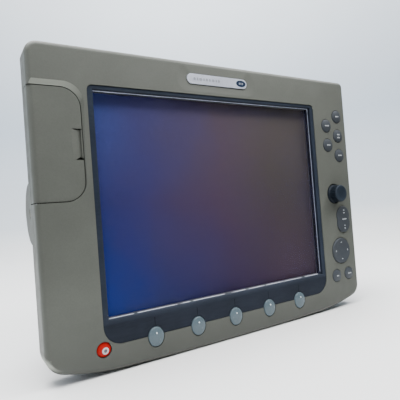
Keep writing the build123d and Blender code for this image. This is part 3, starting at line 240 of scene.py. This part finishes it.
def moulded_plastic(name, colour, roughness, grain=0.45 * MM, relief=0.018 * MM, gaps=None):
    """Spark-eroded moulded plastic: a fine leathery grain, faint mottling, a little dust."""
    made = Surface(name, colour, roughness, Specular_IOR_Level=0.3)
    made.shade(made.noise(26 * MM, 4.0), 0.045)
    made.shade(made.noise(1.1 * MM, 2.0), 0.035)
    made.tint(made.noise(60 * MM, 6.0, low=0.56, high=0.95), dusty(colour))
    made.vary_roughness(made.noise(9 * MM, 3.0), 0.06)
    made.bump(made.cells(grain), relief)
    made.bump(made.noise(grain * 0.5, 2.0), relief * 0.5)
    # With a box of gaps, the front also gets painted light and shade.
    if gaps:
        front_shading(made, colour, gaps)
    return made.done()


def front_shading(made, colour, gaps):
    """Painted light and shade on the front: painted shade darkens it towards its foot, painted
    light makes it paler where it leans down towards the floor, and painted shade darkens the walls
    of its gaps.
    """
    foot_shade_share, slope_light_share, gap_shade_share = 0.5, 2.9, 0.08
    # Painted shade: the front darkens towards its foot, where less light falls.
    painted_foot_shade = made.spread(made.along["Z"], bezel_low.z + 60 * MM, bezel_low.z - 5 * MM)
    made.tint(painted_foot_shade, times_all(colour, foot_shade_share))
    # Painted light: slopes that lean down towards the bright floor are painted paler.
    made.tint(made.leaning_down(), times_all(colour, slope_light_share))
    # Painted shade: the walls of gaps and holes are painted near black, outside the card bay.
    outside_bay = made.spread(made.inside(*CARD_BAY), 0, 1, 1, 0)
    painted_gap_shade = made.times(made.inside(*gaps), outside_bay)
    made.tint(painted_gap_shade, times_all(colour, gap_shade_share))


def times_all(colour, share):
    """A colour times this share."""
    return tuple(share * value for value in colour)


def dusty(colour):
    """The same colour with a film of pale dust on it."""
    return tuple(0.82 * value + 0.035 for value in colour)


def satin_plastic(name, colour, roughness, specular=0.5):
    """Smooth satin plastic with a very fine grain and faint smears."""
    made = Surface(name, colour, roughness, Specular_IOR_Level=specular)
    satin_grain(made)
    return made.done()


def satin_grain(made):
    """The wear and fine relief that all satin plastic has here."""
    made.shade(made.noise(35 * MM, 4.0), 0.12)
    made.shade(made.noise(1.6 * MM, 3.0, made.stretched((0.2, 1.0, 1.0))), 0.08)
    made.vary_roughness(made.noise(14 * MM, 4.0), 0.06)
    made.bump(made.noise(0.3 * MM, 2.0), 0.004 * MM)


def soft_rubber(name, colour, roughness, sheen=0.15, specular=0.3, worn_top=None):
    """Silicone or elastomer: matt, very fine grain, a soft bloom at grazing angles."""
    made = Surface(name, colour, roughness, Sheen_Weight=sheen, Specular_IOR_Level=specular)
    if worn_top:
        depth, worn_colour = worn_top
        made.tint(made.spread(made.along["Y"], depth + 1.2 * MM, depth + 0.2 * MM), worn_colour)
    made.shade(made.noise(7 * MM, 3.0), 0.04)
    made.shade(made.noise(0.4 * MM, 2.0), 0.03)
    made.vary_roughness(made.noise(3 * MM, 3.0), 0.07)
    made.bump(made.noise(0.18 * MM, 2.0), 0.006 * MM)
    return made.done()


def brushed_metal(name, colour, roughness, along=(0.05, 1.0, 1.0)):
    """Sheet or turned metal with fine grain one way and faint tarnish."""
    made = Surface(name, colour, roughness, Metallic=1.0)
    grain = made.noise(0.25 * MM, 3.0, made.stretched(along))
    made.shade(grain, 0.08)
    made.tint(made.noise(12 * MM, 5.0, low=0.55, high=0.8), times_all(colour, 0.72))
    made.vary_roughness(grain, 0.08)
    made.bump(grain, 0.004 * MM)
    return made.done()


def badge_lacquer(name, colour):
    """Lacquer with metallic flake."""
    made = Surface(name, colour, 0.36, Metallic=0.55, Coat_Weight=0.35, Coat_Roughness=0.18)
    made.shade(made.cells(0.16 * MM), 0.10)
    made.shade(made.noise(8 * MM, 4.0), 0.06)
    made.vary_roughness(made.noise(2 * MM, 3.0), 0.06)
    made.bump(made.noise(0.2 * MM, 2.0), 0.005 * MM)
    return made.done()


def solder_resist(name, colour):
    """A circuit board: copper runs under the green resist, with a scatter of pads."""
    made = Surface(name, colour, 0.38, Coat_Weight=0.4, Coat_Roughness=0.2)
    runs = made.node("ShaderNodeTexBrick", offset=0.3, squash=1.4)
    runs.inputs["Scale"].default_value = 1.0 / (6 * MM)
    runs.inputs["Mortar Size"].default_value = 0.06
    turned = made.node("ShaderNodeMapping")
    turned.inputs["Rotation"].default_value = (math.pi / 2, 0, 0)
    made.link(made.place, turned.inputs["Vector"])
    made.link(turned.outputs["Vector"], runs.inputs["Vector"])
    made.shade(made.noise(10 * MM, 3.0), 0.1)
    made.tint(made.spread(runs.outputs["Fac"], 0.2, 0.8), (0.09, 0.26, 0.1))
    pads = made.spread(made.cells(3.2 * MM, 0.4), 0.16, 0.12)
    made.tint(pads, (0.55, 0.42, 0.16))
    made.bump(runs.outputs["Fac"], 0.02 * MM)
    return made.done()


def clear_window(name):
    """The coated window: mostly see-through, with a bluish film and a soft gloss."""
    made = Surface(name, (0.03, 0.03, 0.07), 0.1, Alpha=0.2, Specular_IOR_Level=0.1)
    made.shade(made.noise(40 * MM, 5.0), 0.2)
    made.vary_roughness(made.noise(18 * MM, 5.0), 0.04)
    return made.done()


def display_painted_reflection(name):
    """The switched-off panel, its colour field a painted reflection of the surroundings in the
    coated glass: blue to the left, purple in the middle, brown top right.
    """
    made = Surface(name, (0.045, 0.04, 0.085), 0.3, Specular_IOR_Level=0.05)
    wander = made.spread(made.noise(70 * MM, 3.0, low=0.3, high=0.7), 0, 1, -0.05, 0.05)
    across = made.node("ShaderNodeMath", operation="ADD", use_clamp=True)
    made.link(made.spread(made.along["X"], window_low.x, window_high.x), across.inputs[0])
    made.link(wander, across.inputs[1])
    up = made.spread(made.along["Z"], window_low.z, window_high.z)

    def row(*colours):
        return made.ramp(across.outputs[0], list(zip((0.0, 0.2, 0.5, 0.8, 1.0), colours)))

    # Painted reflection: these rows stand in for the coloured reflection in the coated glass.
    bottom = row(
        (0.000, 0.046, 0.42), (0.018, 0.034, 0.18), (0.052, 0.034, 0.088),
        (0.088, 0.050, 0.066), (0.100, 0.068, 0.080),
    )
    centre = row(
        (0.036, 0.052, 0.27), (0.078, 0.060, 0.175), (0.124, 0.076, 0.110),
        (0.110, 0.090, 0.068), (0.102, 0.084, 0.080),
    )
    top = row(
        (0.100, 0.160, 0.56), (0.108, 0.115, 0.35), (0.190, 0.140, 0.160),
        (0.185, 0.155, 0.115), (0.180, 0.155, 0.120),
    )
    lower = made.blend(made.spread(up, 0.0, 0.5), bottom, centre)
    made.top_colour = made.blend(made.spread(up, 0.5, 1.0), lower, top)
    left_strip = made.spread(made.along["X"], window_low.x + 4 * MM, window_low.x + 2 * MM)
    made.tint(left_strip, (0.09, 0.14, 0.36))
    made.shade(made.noise(4 * MM, 3.0), 0.05)
    return made.done()


def surround_painted_shade(name):
    """Navy satin plastic, with painted shade on the band below the window and on the inner wall,
    and two paler lines painted on that wall as highlights.
    """
    made = Surface(name, (0.024, 0.031, 0.046), 0.45, Specular_IOR_Level=0.08)
    # Painted shade: the band below the window is darker, as it gets less light than the top.
    shaded_lower_band = made.spread(made.along["Z"], window_low.z, window_low.z - 3 * MM)
    made.tint(shaded_lower_band, (0.014, 0.018, 0.027))
    satin_grain(made)
    # Painted shade and highlights on the inner wall: dark as shade, with two paler lines painted as
    # highlights.
    dark, step = (0.004, 0.006, 0.011), (0.045, 0.052, 0.085)
    wall = made.ramp(made.spread(made.along["Y"], front_y + 1 * MM, front_y + 4.5 * MM), [
        (0.0, dark), (0.34, dark), (0.42, step), (0.50, dark), (0.72, dark),
        (0.80, step), (0.88, dark), (1.0, dark),
    ])
    made.tint(made.spread(made.along["Y"], front_y + 1.2 * MM, front_y + 1.6 * MM), wall)
    return made.done()


def frosted_glass(name):
    """The lamps' pale glass tubes."""
    made = Surface(name, (0.85, 0.86, 0.88), 0.25, Transmission_Weight=0.3)
    made.shade(made.noise(3 * MM, 3.0), 0.04)
    made.vary_roughness(made.noise(2 * MM, 2.0), 0.08)
    return made.done()


def gap_shade_behind(depth):
    """Where painted shade darkens the walls of gaps and holes: behind the face, inside the rim."""
    return (
        Vector((bezel_low.x + 5 * MM, front_y + depth * MM, bezel_low.z + 3 * MM)),
        Vector((bezel_high.x - 3 * MM, front_y + 30 * MM, bezel_high.z - 3 * MM)),
        0.8 * MM,
    )


# The bay behind the card door gets no painted gap shade: a box, and how far it fades out.
door_low, door_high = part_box("card_door")
CARD_BAY = (
    Vector((door_low.x, front_y, door_low.z + 10 * MM)),
    Vector((door_high.x - 10 * MM, front_y + 60 * MM, door_high.z - 10 * MM)),
    1 * MM,
)


def bezel_plastic(name, gap_shade_depth):
    """The bezel's grey, with painted shade in gaps deeper than this many millimetres."""
    return moulded_plastic(name, (0.106, 0.112, 0.097), 0.52, gaps=gap_shade_behind(gap_shade_depth))


FINISHES = {
    "bezel_grey": lambda n: bezel_plastic(n, 2.0),
    "case_grey": lambda n: moulded_plastic(
        n, (0.105, 0.111, 0.099), 0.58, grain=0.8 * MM, relief=0.045 * MM
    ),
    "surround_navy": surround_painted_shade,
    "window_clear": clear_window,
    "lcd_dark": display_painted_reflection,
    "sheet_steel": lambda n: brushed_metal(n, (0.5, 0.51, 0.52), 0.36),
    "reflector_white": lambda n: moulded_plastic(n, (0.8, 0.8, 0.78), 0.6),
    "lamp_glass": frosted_glass,
    "badge_silver": lambda n: badge_lacquer(n, (0.66, 0.70, 0.80)),
    "inlay_blue": lambda n: satin_plastic(n, (0.016, 0.030, 0.060), 0.22),
    "power_red": lambda n: soft_rubber(n, (0.35, 0.003, 0.001), 0.5, sheen=0.0, specular=0.15),
    "key_grey": lambda n: soft_rubber(n, (0.041, 0.048, 0.057), 0.55, sheen=0.02),
    "soft_key_grey": lambda n: soft_rubber(n, (0.082, 0.115, 0.134), 0.22, sheen=0.0),
    "knob_dark": lambda n: soft_rubber(
        n, (0.006, 0.010, 0.016), 0.5, sheen=0.0, specular=0.15,
        worn_top=(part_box("rotary_knob")[0].y, (0.022, 0.031, 0.044)),
    ),
    "silicone_mat": lambda n: soft_rubber(n, (0.3, 0.3, 0.29), 0.6),
    "seal_black": lambda n: soft_rubber(n, (0.018, 0.018, 0.019), 0.68),
    "nylon_black": lambda n: moulded_plastic(n, (0.028, 0.028, 0.03), 0.55),
    "socket_black": lambda n: moulded_plastic(n, (0.034, 0.035, 0.038), 0.42),
    "socket_insert": lambda n: moulded_plastic(n, (0.11, 0.11, 0.11), 0.5),
    "circuit_green": lambda n: solder_resist(n, (0.028, 0.12, 0.055)),
    "aluminium_parts": lambda n: brushed_metal(n, (0.66, 0.67, 0.68), 0.38),
    "steel": lambda n: brushed_metal(n, (0.58, 0.58, 0.57), 0.3, along=(1.0, 1.0, 0.1)),
    "brass_parts": lambda n: brushed_metal(n, (0.72, 0.55, 0.24), 0.3),
}
materials = {slot_name: make(slot_name) for slot_name, make in FINISHES.items()}
slot_of = {row["node"]: row["material_slot"] for row in frame["record"]["subparts"]}

for node_name, node in nodes.items():
    if not node.material_slots:
        node.data.materials.append(None)
    for material_slot in node.material_slots:
        material_slot.material = materials[slot_of[node_name]]

# The door's finger catch is deeper than the bezel's gaps, so its painted gap shade starts further
# back.
nodes["card_door"].material_slots[0].material = bezel_plastic("door_finish", 4.2)


def print_white(name):
    """Pale print on rubber, slightly worn."""
    made = Surface(name, (0.5, 0.53, 0.55), 0.5)
    made.shade(made.noise(0.6 * MM, 3.0), 0.12)
    made.vary_roughness(made.noise(0.5 * MM, 2.0), 0.1)
    return made.done()


def bead_painted_highlight(name):
    """The clear bead round the window, coloured as a painted highlight: broken pale patches along
    the bottom, a fainter highlight up the sides and a pale one along the top.
    """
    made = Surface(name, (0.33, 0.35, 0.45), 0.16, Specular_IOR_Level=0.7)
    # Painted highlight: the bead's colour stands in for light caught along the window's edge.
    highlight_patches = made.noise(14 * MM, 4.0, low=0.37, high=0.44)
    made.top_colour = made.blend(highlight_patches, (0.03, 0.04, 0.06), (0.80, 0.82, 0.92))
    upper_highlight = made.spread(made.along["Z"], window_low.z + 2 * MM, window_low.z + 6 * MM)
    made.tint(upper_highlight, (0.30, 0.33, 0.42))
    top_highlight = made.spread(made.along["Z"], window_high.z - 5 * MM, window_high.z - 4 * MM)
    made.tint(top_highlight, (0.75, 0.80, 0.98))
    made.shade(made.noise(2 * MM, 3.0), 0.15)
    made.vary_roughness(made.noise(3 * MM, 2.0), 0.06)
    return made.done()


pale_print = print_white("pale_print")
window_bead_highlight = bead_painted_highlight("window_bead_highlight")
badge_mark_finish = badge_lacquer("badge_mark_finish", (0.40, 0.43, 0.50))
# Painted highlight: the pale spot on each soft key's pip stands in for the glint on its dome.
nib_painted_highlight = satin_plastic("nib_painted_highlight", (0.62, 0.70, 0.74), 0.2)
tick_finish = satin_plastic("tick_finish", (0.003, 0.004, 0.007), 0.6, specular=0.05)

# ---------------------------------------------------------------- mesh helpers


def new_piece(name, bm, material, body):
    """A finished, smooth-shaded piece from a bmesh, riding on a CAD body."""
    bmesh.ops.recalc_face_normals(bm, faces=bm.faces)
    mesh = bpy.data.meshes.new(name)
    bm.to_mesh(mesh)
    bm.free()
    mesh.shade_smooth()
    mesh.set_sharp_from_angle(angle=math.radians(38))
    mesh.materials.append(material)
    piece = bpy.data.objects.new(name, mesh)
    bpy.context.scene.collection.objects.link(piece)
    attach(piece, body)
    return piece


def tube_of_rings(bm, rings):
    """Skins a closed solid over rings of points, with a cap on the first and the last."""
    made = [[bm.verts.new(point) for point in ring] for ring in rings]
    count = len(made[0])
    for lower, upper in zip(made, made[1:]):
        for k in range(count):
            near = (k + 1) % count
            bm.faces.new((lower[k], lower[near], upper[near], upper[k]))
    for ring in (made[0], made[-1]):
        bm.faces.new(ring)


def around(count):
    """Angles at even steps round a circle."""
    return [2 * math.pi * k / count for k in range(count)]


def circle_points(radius_x, radius_z, centre, count=32):
    """An oval as (across, up) points."""
    return [
        (centre[0] + radius_x * math.cos(t), centre[1] + radius_z * math.sin(t))
        for t in around(count)
    ]


def bar_points(centre, width, height, count=16):
    """A bar with rounded ends as (across, up) points."""
    end = min(width, height) / 2
    reach_x, reach_z = width / 2 - end, height / 2 - end
    points = []
    for t in around(count):
        side_x = math.copysign(1, math.cos(t)) if reach_x else 0
        side_z = math.copysign(1, math.sin(t)) if reach_z else 0
        points.append((
            centre[0] + side_x * reach_x + end * math.cos(t),
            centre[1] + side_z * reach_z + end * math.sin(t),
        ))
    return points


def shrunk(points, share):
    """The same outline, drawn in towards its middle."""
    centre_x = sum(p[0] for p in points) / len(points)
    centre_z = sum(p[1] for p in points) / len(points)
    return [
        (centre_x + (x - centre_x) * share, centre_z + (z - centre_z) * share)
        for x, z in points
    ]


class Stamp:
    """Thin raised print that follows the surface of one piece, cast onto it from in front."""

    CAST_FROM = -60

    def __init__(self, target, proud=0.05, sunk=0.15):
        self.bm = bmesh.new()
        self.target = BVHTree.FromObject(target, bpy.context.evaluated_depsgraph_get())
        self.proud, self.sunk = proud, sunk

    def surface(self, point, lift):
        """A vertex this far in front of the surface, in millimetres."""
        start = spot(point[0], self.CAST_FROM, point[1])
        hit = self.target.ray_cast(start, Vector((0, 1, 0)))[0]
        return self.bm.verts.new((hit.x, hit.y - lift * MM, hit.z))

    def skin(self, first, second):
        """A band of faces between two rings."""
        count = len(first)
        for k in range(count):
            near = (k + 1) % count
            self.bm.faces.new((first[k], first[near], second[near], second[k]))

    def rings(self, outlines):
        """Top and underside over nested outlines, and the wall round the outer one."""
        tops = [[self.surface(p, self.proud) for p in line] for line in outlines]
        unders = [[self.surface(p, -self.sunk) for p in line] for line in outlines]
        for layer in (tops, unders):
            for first, second in zip(layer, layer[1:]):
                self.skin(first, second)
        self.skin(tops[0], unders[0])
        return tops[-1], unders[-1]

    def filled(self, outline):
        """A solid patch of print."""
        top, under = self.rings([shrunk(outline, share) for share in (1, 0.66, 0.3)])
        self.bm.faces.new(top)
        self.bm.faces.new(under)

    def ring(self, centre, outer, inner):
        """A ring of print."""
        middle_r = (outer + inner) / 2
        top, under = self.rings([
            circle_points(radius, radius, centre) for radius in (outer, middle_r, inner)
        ])
        self.skin(top, under)

    def dashes(self, centre, widths, height=1.5, gap=0.4):
        """A row of short bars side by side."""
        left = centre[0] - (sum(widths) + gap * (len(widths) - 1)) / 2
        for width in widths:
            self.filled(bar_points((left + width / 2, centre[1]), width, height))
            left += width + gap


# ---------------------------------------------------------------- soft keys


def soft_key(number):
    """A domed oval key with a small locating pip above its middle, and a pale spot painted on the
    pip as a highlight.
    """
    cad_name = f"soft_key_{number}"
    low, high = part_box(cad_name)
    centre = middle(cad_name)
    face = (low.y - front_y) / MM
    foot = (high.y - front_y) / MM
    lip, flange_height, dome, sides = 1.1, 1.2, 1.7, 64
    flange = foot - flange_height
    radius_x = (high.x - low.x) / MM / 2 - lip
    radius_z = (high.z - low.z) / MM / 2 - lip
    edge = face + dome
    # share of the radius, depth: the dome, then its rounded shoulder
    profile = []
    for step in range(11):
        share = 0.04 + 0.08 * step
        profile.append((share, edge - dome * math.cos(share * math.pi / 2) ** 0.8))
    profile += [(0.91, edge - 0.45), (0.965, edge - 0.05), (0.99, edge + 0.3), (1, edge + 0.7)]
    pip_x, pip_z, pip_r, pip_height = -0.4, 3.4, 1.5, 0.7
    glint_up, glint_r, glint_sides = 0.1, 0.7, 12
    bm = bmesh.new()
    rings = []
    for share, depth in profile:
        ring = []
        for t in around(sides):
            x = radius_x * share * math.cos(t)
            z = radius_z * share * math.sin(t)
            off = math.hypot(x - pip_x, z - pip_z) / pip_r
            lift = pip_height * max(0.0, 1 - off * off) ** 2
            ring.append(spot(centre[0] + x, depth - lift, centre[1] + z))
        rings.append(ring)
    for depth, extra in ((flange, 0.0), (flange, lip), (foot, lip)):
        rings.append([
            spot(
                centre[0] + (radius_x + extra) * math.cos(t), depth,
                centre[1] + (radius_z + extra) * math.sin(t),
            )
            for t in around(sides)
        ])
    tube_of_rings(bm, rings)
    piece = new_piece(
        f"soft_key_cap_{number}", bm, materials["soft_key_grey"], cad_name
    )
    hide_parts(cad_name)
    # Painted highlight: a pale spot on the pip.
    glint_spot = Stamp(piece)
    glint_at = (centre[0] + pip_x, centre[1] + pip_z + glint_up)
    glint_spot.filled(circle_points(glint_r, glint_r, glint_at, glint_sides))
    new_piece(f"soft_key_glint_{number}", glint_spot.bm, nib_painted_highlight, cad_name)


for key_number in range(1, 6):
    soft_key(key_number)

# ---------------------------------------------------------------- rotary knob


def knob():
    """A rubber knob with a fluted grip, a rolled rim and a slightly dished top."""
    low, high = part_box("rotary_knob")
    centre = middle("rotary_knob")
    top = (low.y - front_y) / MM
    skirt = (high.y - front_y) / MM
    skirt_r = (high.x - low.x) / MM / 2
    flutes, flute_depth, flute_sides = 30, 0.5, 6
    # distance from the axis, depth, share of the flute
    profile = [
        (1.5, top + 0.62, 0), (4.2, top + 0.5, 0), (6.6, top + 0.28, 0),
        (7.5, top + 0.12, 0), (8.0, top, 0), (8.6, top + 0.05, 0.0),
        (9.1, top + 0.3, 0.2), (9.45, top + 0.75, 0.6), (9.6, top + 1.3, 1),
        (9.7, top + 3.5, 1), (9.8, top + 7.5, 1), (9.9, top + 8.6, 0.8),
        (10.1, top + 9.1, 0), (skirt_r, top + 9.5, 0), (skirt_r, skirt, 0),
        (3.1, skirt, 0), (3.1, top + 3.0, 0), (1.5, top + 3.0, 0),
    ]
    bm = bmesh.new()
    rings = []
    for radius, depth, share in profile:
        ring = []
        for t in around(flutes * flute_sides):
            groove = max(0.0, math.cos(flutes * t)) ** 0.7
            reach = radius - flute_depth * share * groove
            ring.append(spot(
                centre[0] + reach * math.cos(t), depth, centre[1] + reach * math.sin(t)
            ))
        rings.append(ring)
    tube_of_rings(bm, rings)
    piece = new_piece("knob_grip", bm, materials["knob_dark"], "knob")
    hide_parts("rotary_knob")


knob()

# ---------------------------------------------------------------- window bead


def window_bead():
    """A thin glossy bead where the window meets the foot of the surround's inner wall, its pale
    colour a painted highlight.
    """
    bead_r, bead_lift, flatness, sides = 0.42, 0.02, 0.9, 10
    inner_x, inner_z, corner_r, corner_steps = 124.15, 93.65, 0.9, 6
    depth = (window_low.y - front_y) / MM - bead_lift
    path = []
    for k, (side_x, side_z) in enumerate(((1, 1), (-1, 1), (-1, -1), (1, -1))):
        for step in range(corner_steps + 1):
            t = math.radians(90 * (k + step / corner_steps))
            path.append((
                side_x * (inner_x - corner_r) + corner_r * math.cos(t),
                side_z * (inner_z - corner_r) + corner_r * math.sin(t),
            ))
    bm = bmesh.new()
    rings = []
    for k, (x, z) in enumerate(path):
        before, after = path[k - 1], path[(k + 1) % len(path)]
        way = Vector((after[0] - before[0], after[1] - before[1])).normalized()
        out = Vector((way.y, -way.x))
        ring = []
        for t in around(sides):
            sideways = bead_r * math.cos(t)
            ring.append(bm.verts.new(spot(
                x + out.x * sideways, depth + bead_r * math.sin(t) * flatness,
                z + out.y * sideways,
            )))
        rings.append(ring)
    for first, second in zip(rings, rings[1:] + rings[:1]):
        for k in range(sides):
            near = (k + 1) % sides
            bm.faces.new((first[k], first[near], second[near], second[k]))
    new_piece("window_bead", bm, window_bead_highlight, "housing")


window_bead()

# ---------------------------------------------------------------- marks on the keys


def finish_stamp(stamp, name, body, material=pale_print):
    new_piece(name, stamp.bm, material, body)


def key_marks():
    """Short generic dashes where each hard key has its print."""
    rows = {
        "page_key": [(0.0, [1.1, 1.1, 1.1, 0.9])],
        "active_key": [(0.0, [1.1, 1.0, 0.6, 1.1, 1.0])],
        "waypoint_key": [(1.6, [1.2, 1.1, 1.0]), (-1.9, [1.4, 1.1, 1.0])],
        "data_key": [(0.0, [1.1, 1.1, 1.0, 1.1])],
        "menu_key": [(0.0, [1.4, 1.0, 1.1, 1.1])],
        "ok_key": [(0.0, [1.5, 1.2])],
        "cancel_key": [(0.0, [1.0, 1.0, 1.0, 1.0])],
    }
    for cad_name, lines in rows.items():
        x, z = middle(cad_name)
        stamp = Stamp(nodes[cad_name])
        for up, widths in lines:
            stamp.dashes((x, z + up), widths)
        finish_stamp(stamp, cad_name + "_mark", cad_name)


def rocker_marks():
    """A small ring and dashes at both ends of the rocker, and a row of dashes across its middle."""
    x, z = middle("range_rocker")
    x += 0.8
    ring_up, dash_up, ring_r = 10.6, 7.4, 0.95
    stamp = Stamp(nodes["range_rocker"])
    stamp.ring((x, z + ring_up), ring_r, 0.45)
    stamp.dashes((x, z + dash_up), [0.9, 1.1])
    stamp.dashes((x, z), [1.0, 1.1, 1.1, 1.1, 1.0])
    stamp.dashes((x, z - dash_up), [1.6])
    stamp.ring((x, z - ring_up), ring_r, 0.3)
    finish_stamp(stamp, "rocker_mark", "rocker")


def trackpad_marks():
    """A short bar at each of the trackpad's four sides."""
    x, z = middle("trackpad")
    x += 0.6
    reach = 9.6
    stamp = Stamp(nodes["trackpad"])
    for side in (-1, 1):
        stamp.filled(bar_points((x, z + side * reach), 2.0, 0.95))
        stamp.filled(bar_points((x + side * reach, z), 0.9, 2.1))
    finish_stamp(stamp, "trackpad_mark", "pad")


def power_mark():
    """A ring with a dot in it, below and to the right of the power key's middle."""
    x, z = middle("power_key")
    mark_at = (x + 1.0, z - 1.0)
    ring_r, hole_r, dot_r = 2.8, 1.45, 1.15
    stamp = Stamp(nodes["power_key"])
    stamp.ring(mark_at, ring_r, hole_r)
    finish_stamp(stamp, "power_mark", "power_key")
    dot = Stamp(nodes["power_key"])
    dot.filled(circle_points(dot_r, dot_r, mark_at, 20))
    finish_stamp(dot, "power_mark_dot", "power_key", materials["soft_key_grey"])


def badge_marks():
    """A plain row of low bars on the badge and three pale dashes on its inlay."""
    x, z = middle("badge_plate")
    stamp = Stamp(nodes["badge_plate"], proud=0.12)
    stamp.dashes((x - 13.0, z), [2.6, 1.6, 3.4, 1.6, 2.6, 2.0, 3.4, 1.6, 2.4], 2.6, 1.1)
    finish_stamp(stamp, "badge_mark", "housing", badge_mark_finish)
    x, z = middle("badge_inlay")
    stamp = Stamp(nodes["badge_inlay"])
    stamp.dashes((x, z), [1.1, 1.1, 1.1], 2.2, 0.9)
    finish_stamp(stamp, "inlay_mark", "housing", badge_mark_finish)


def soft_key_ticks():
    """A hairline on the surround above each soft key."""
    tick_up, tick_width, tick_height = 13.2, 0.5, 7.0
    stamp = Stamp(nodes["screen_surround"], proud=0.02)
    for number in range(1, 6):
        x, z = middle(f"soft_key_{number}")
        stamp.filled(bar_points((x, z + tick_up), tick_width, tick_height))
    finish_stamp(stamp, "soft_key_ticks", "housing", tick_finish)


key_marks()
rocker_marks()
trackpad_marks()
power_mark()
badge_marks()
soft_key_ticks()

# ---------------------------------------------------------------- studio


def studio_paper():
    """Pale paper, bluer up the wall. The floor in front is dark beyond two slanting lines."""
    made = Surface("studio_paper", (0.78, 0.79, 0.80), 0.8, Specular_IOR_Level=0.2)
    made.top_colour = made.ramp(made.spread(made.along["Z"], 0.0, 1.5), [
        (0.0, (0.82, 0.82, 0.81)), (0.06, (0.63, 0.67, 0.70)),
        (0.45, (0.52, 0.59, 0.67)), (1.0, (0.78, 0.83, 0.87)),
    ])
    dark_from, dark_fade = -0.20, 0.06
    for towards in ((0.52, 0.85, 0.0), (-0.54, 0.84, 0.0)):
        slant = made.node("ShaderNodeVectorMath", operation="DOT_PRODUCT")
        made.link(made.place, slant.inputs[0])
        slant.inputs[1].default_value = towards
        beyond = made.spread(slant.outputs["Value"], dark_from, dark_from - dark_fade)
        in_front = made.times(beyond, made.spread(made.along["Y"], 0.05, -0.03))
        made.tint(in_front, (0.05, 0.05, 0.05))
    made.shade(made.noise(0.5, 3.0), 0.012)
    return made.done()


def studio():
    """A round sweep: a flat pale floor that curves up into a wall all the way round."""
    floor_r, curve_r, wall_top = 1.5, 0.9, 2.6
    curve_steps, count = 12, 96
    profile = [(0.4, 0.0), (0.9, 0.0)]
    for step in range(curve_steps + 1):
        t = math.radians(90 * step / curve_steps)
        profile.append((floor_r + curve_r * math.sin(t), curve_r * (1 - math.cos(t))))
    profile.append((floor_r + curve_r, wall_top))
    bm = bmesh.new()
    centre = bm.verts.new((0, 0, 0))
    rings = []
    for radius, height in profile:
        rings.append([
            bm.verts.new((radius * math.cos(t), radius * math.sin(t), height))
            for t in around(count)
        ])
    for k in range(count):
        near = (k + 1) % count
        bm.faces.new((centre, rings[0][k], rings[0][near]))
        for inner, outer in zip(rings, rings[1:]):
            bm.faces.new((inner[k], outer[k], outer[near], inner[near]))
    mesh = bpy.data.meshes.new("studio_sweep")
    bm.to_mesh(mesh)
    bm.free()
    mesh.shade_smooth()
    mesh.materials.append(studio_paper())
    sweep = bpy.data.objects.new("studio_sweep", mesh)
    bpy.context.scene.collection.objects.link(sweep)


def soft_light(name, place, target, width, height, power, colour=(1, 1, 1)):
    """An oval area light, aimed at a point. Lengths in metres, power in watts."""
    data = bpy.data.lights.new(name, "AREA")
    data.shape = "ELLIPSE"
    data.size = width
    data.size_y = height
    data.energy = power
    data.color = colour
    light = bpy.data.objects.new(name, data)
    light.location = place
    light.rotation_mode = "QUATERNION"
    light.rotation_quaternion = (Vector(target) - Vector(place)).to_track_quat("-Z", "Y")
    bpy.context.scene.collection.objects.link(light)


def world_light(colour, strength):
    world = bpy.data.worlds.new("studio_world")
    world.use_nodes = True
    background = world.node_tree.nodes["Background"]
    background.inputs["Color"].default_value = (*colour, 1.0)
    background.inputs["Strength"].default_value = strength
    bpy.context.scene.world = world


def camera():
    """The viewpoint: left of the screen, level with it, looking across it to the right."""
    data = bpy.data.cameras.new("view")
    data.sensor_width = 36.0
    data.lens = 36.6
    data.clip_start = 0.02
    data.clip_end = 50.0
    made = bpy.data.objects.new("view", data)
    bpy.context.scene.collection.objects.link(made)
    azimuth, elevation, roll = math.radians(31.6), math.radians(1.02), math.radians(4.35)
    ahead = Vector((
        math.sin(azimuth) * math.cos(elevation), math.cos(azimuth) * math.cos(elevation),
        math.sin(elevation),
    ))
    made.rotation_mode = "QUATERNION"
    level = ahead.to_track_quat("-Z", "Y")
    made.rotation_quaternion = level @ Quaternion((0, 0, 1), -roll)
    made.location = spot(-228.1, -321.3, -8.6)
    bpy.context.scene.camera = made


studio()
world_light((0.93, 0.96, 1.0), 2.4)
soft_light("overhead", (-0.3, 0.0, 1.35), (0.1, 0.1, 0.0), 0.9, 0.9, 34)
soft_light("backdrop_light", (0.5, 0.9, 1.9), (1.3, 1.9, 1.2), 0.8, 0.8, 34)
soft_light("front_top", (-0.04, -0.26, 0.50), (-0.04, -0.04, 0.20), 0.55, 0.15, 1.35)
soft_light("right_fill", (0.5, -0.35, 0.72), (0.14, -0.04, 0.10), 0.25, 0.25, 4.4)
soft_light("left_fill", (-1.2, -0.35, 0.5), (-0.17, 0, 0.13), 0.6, 0.6, 3.5, (0.93, 0.96, 1.0))
camera()
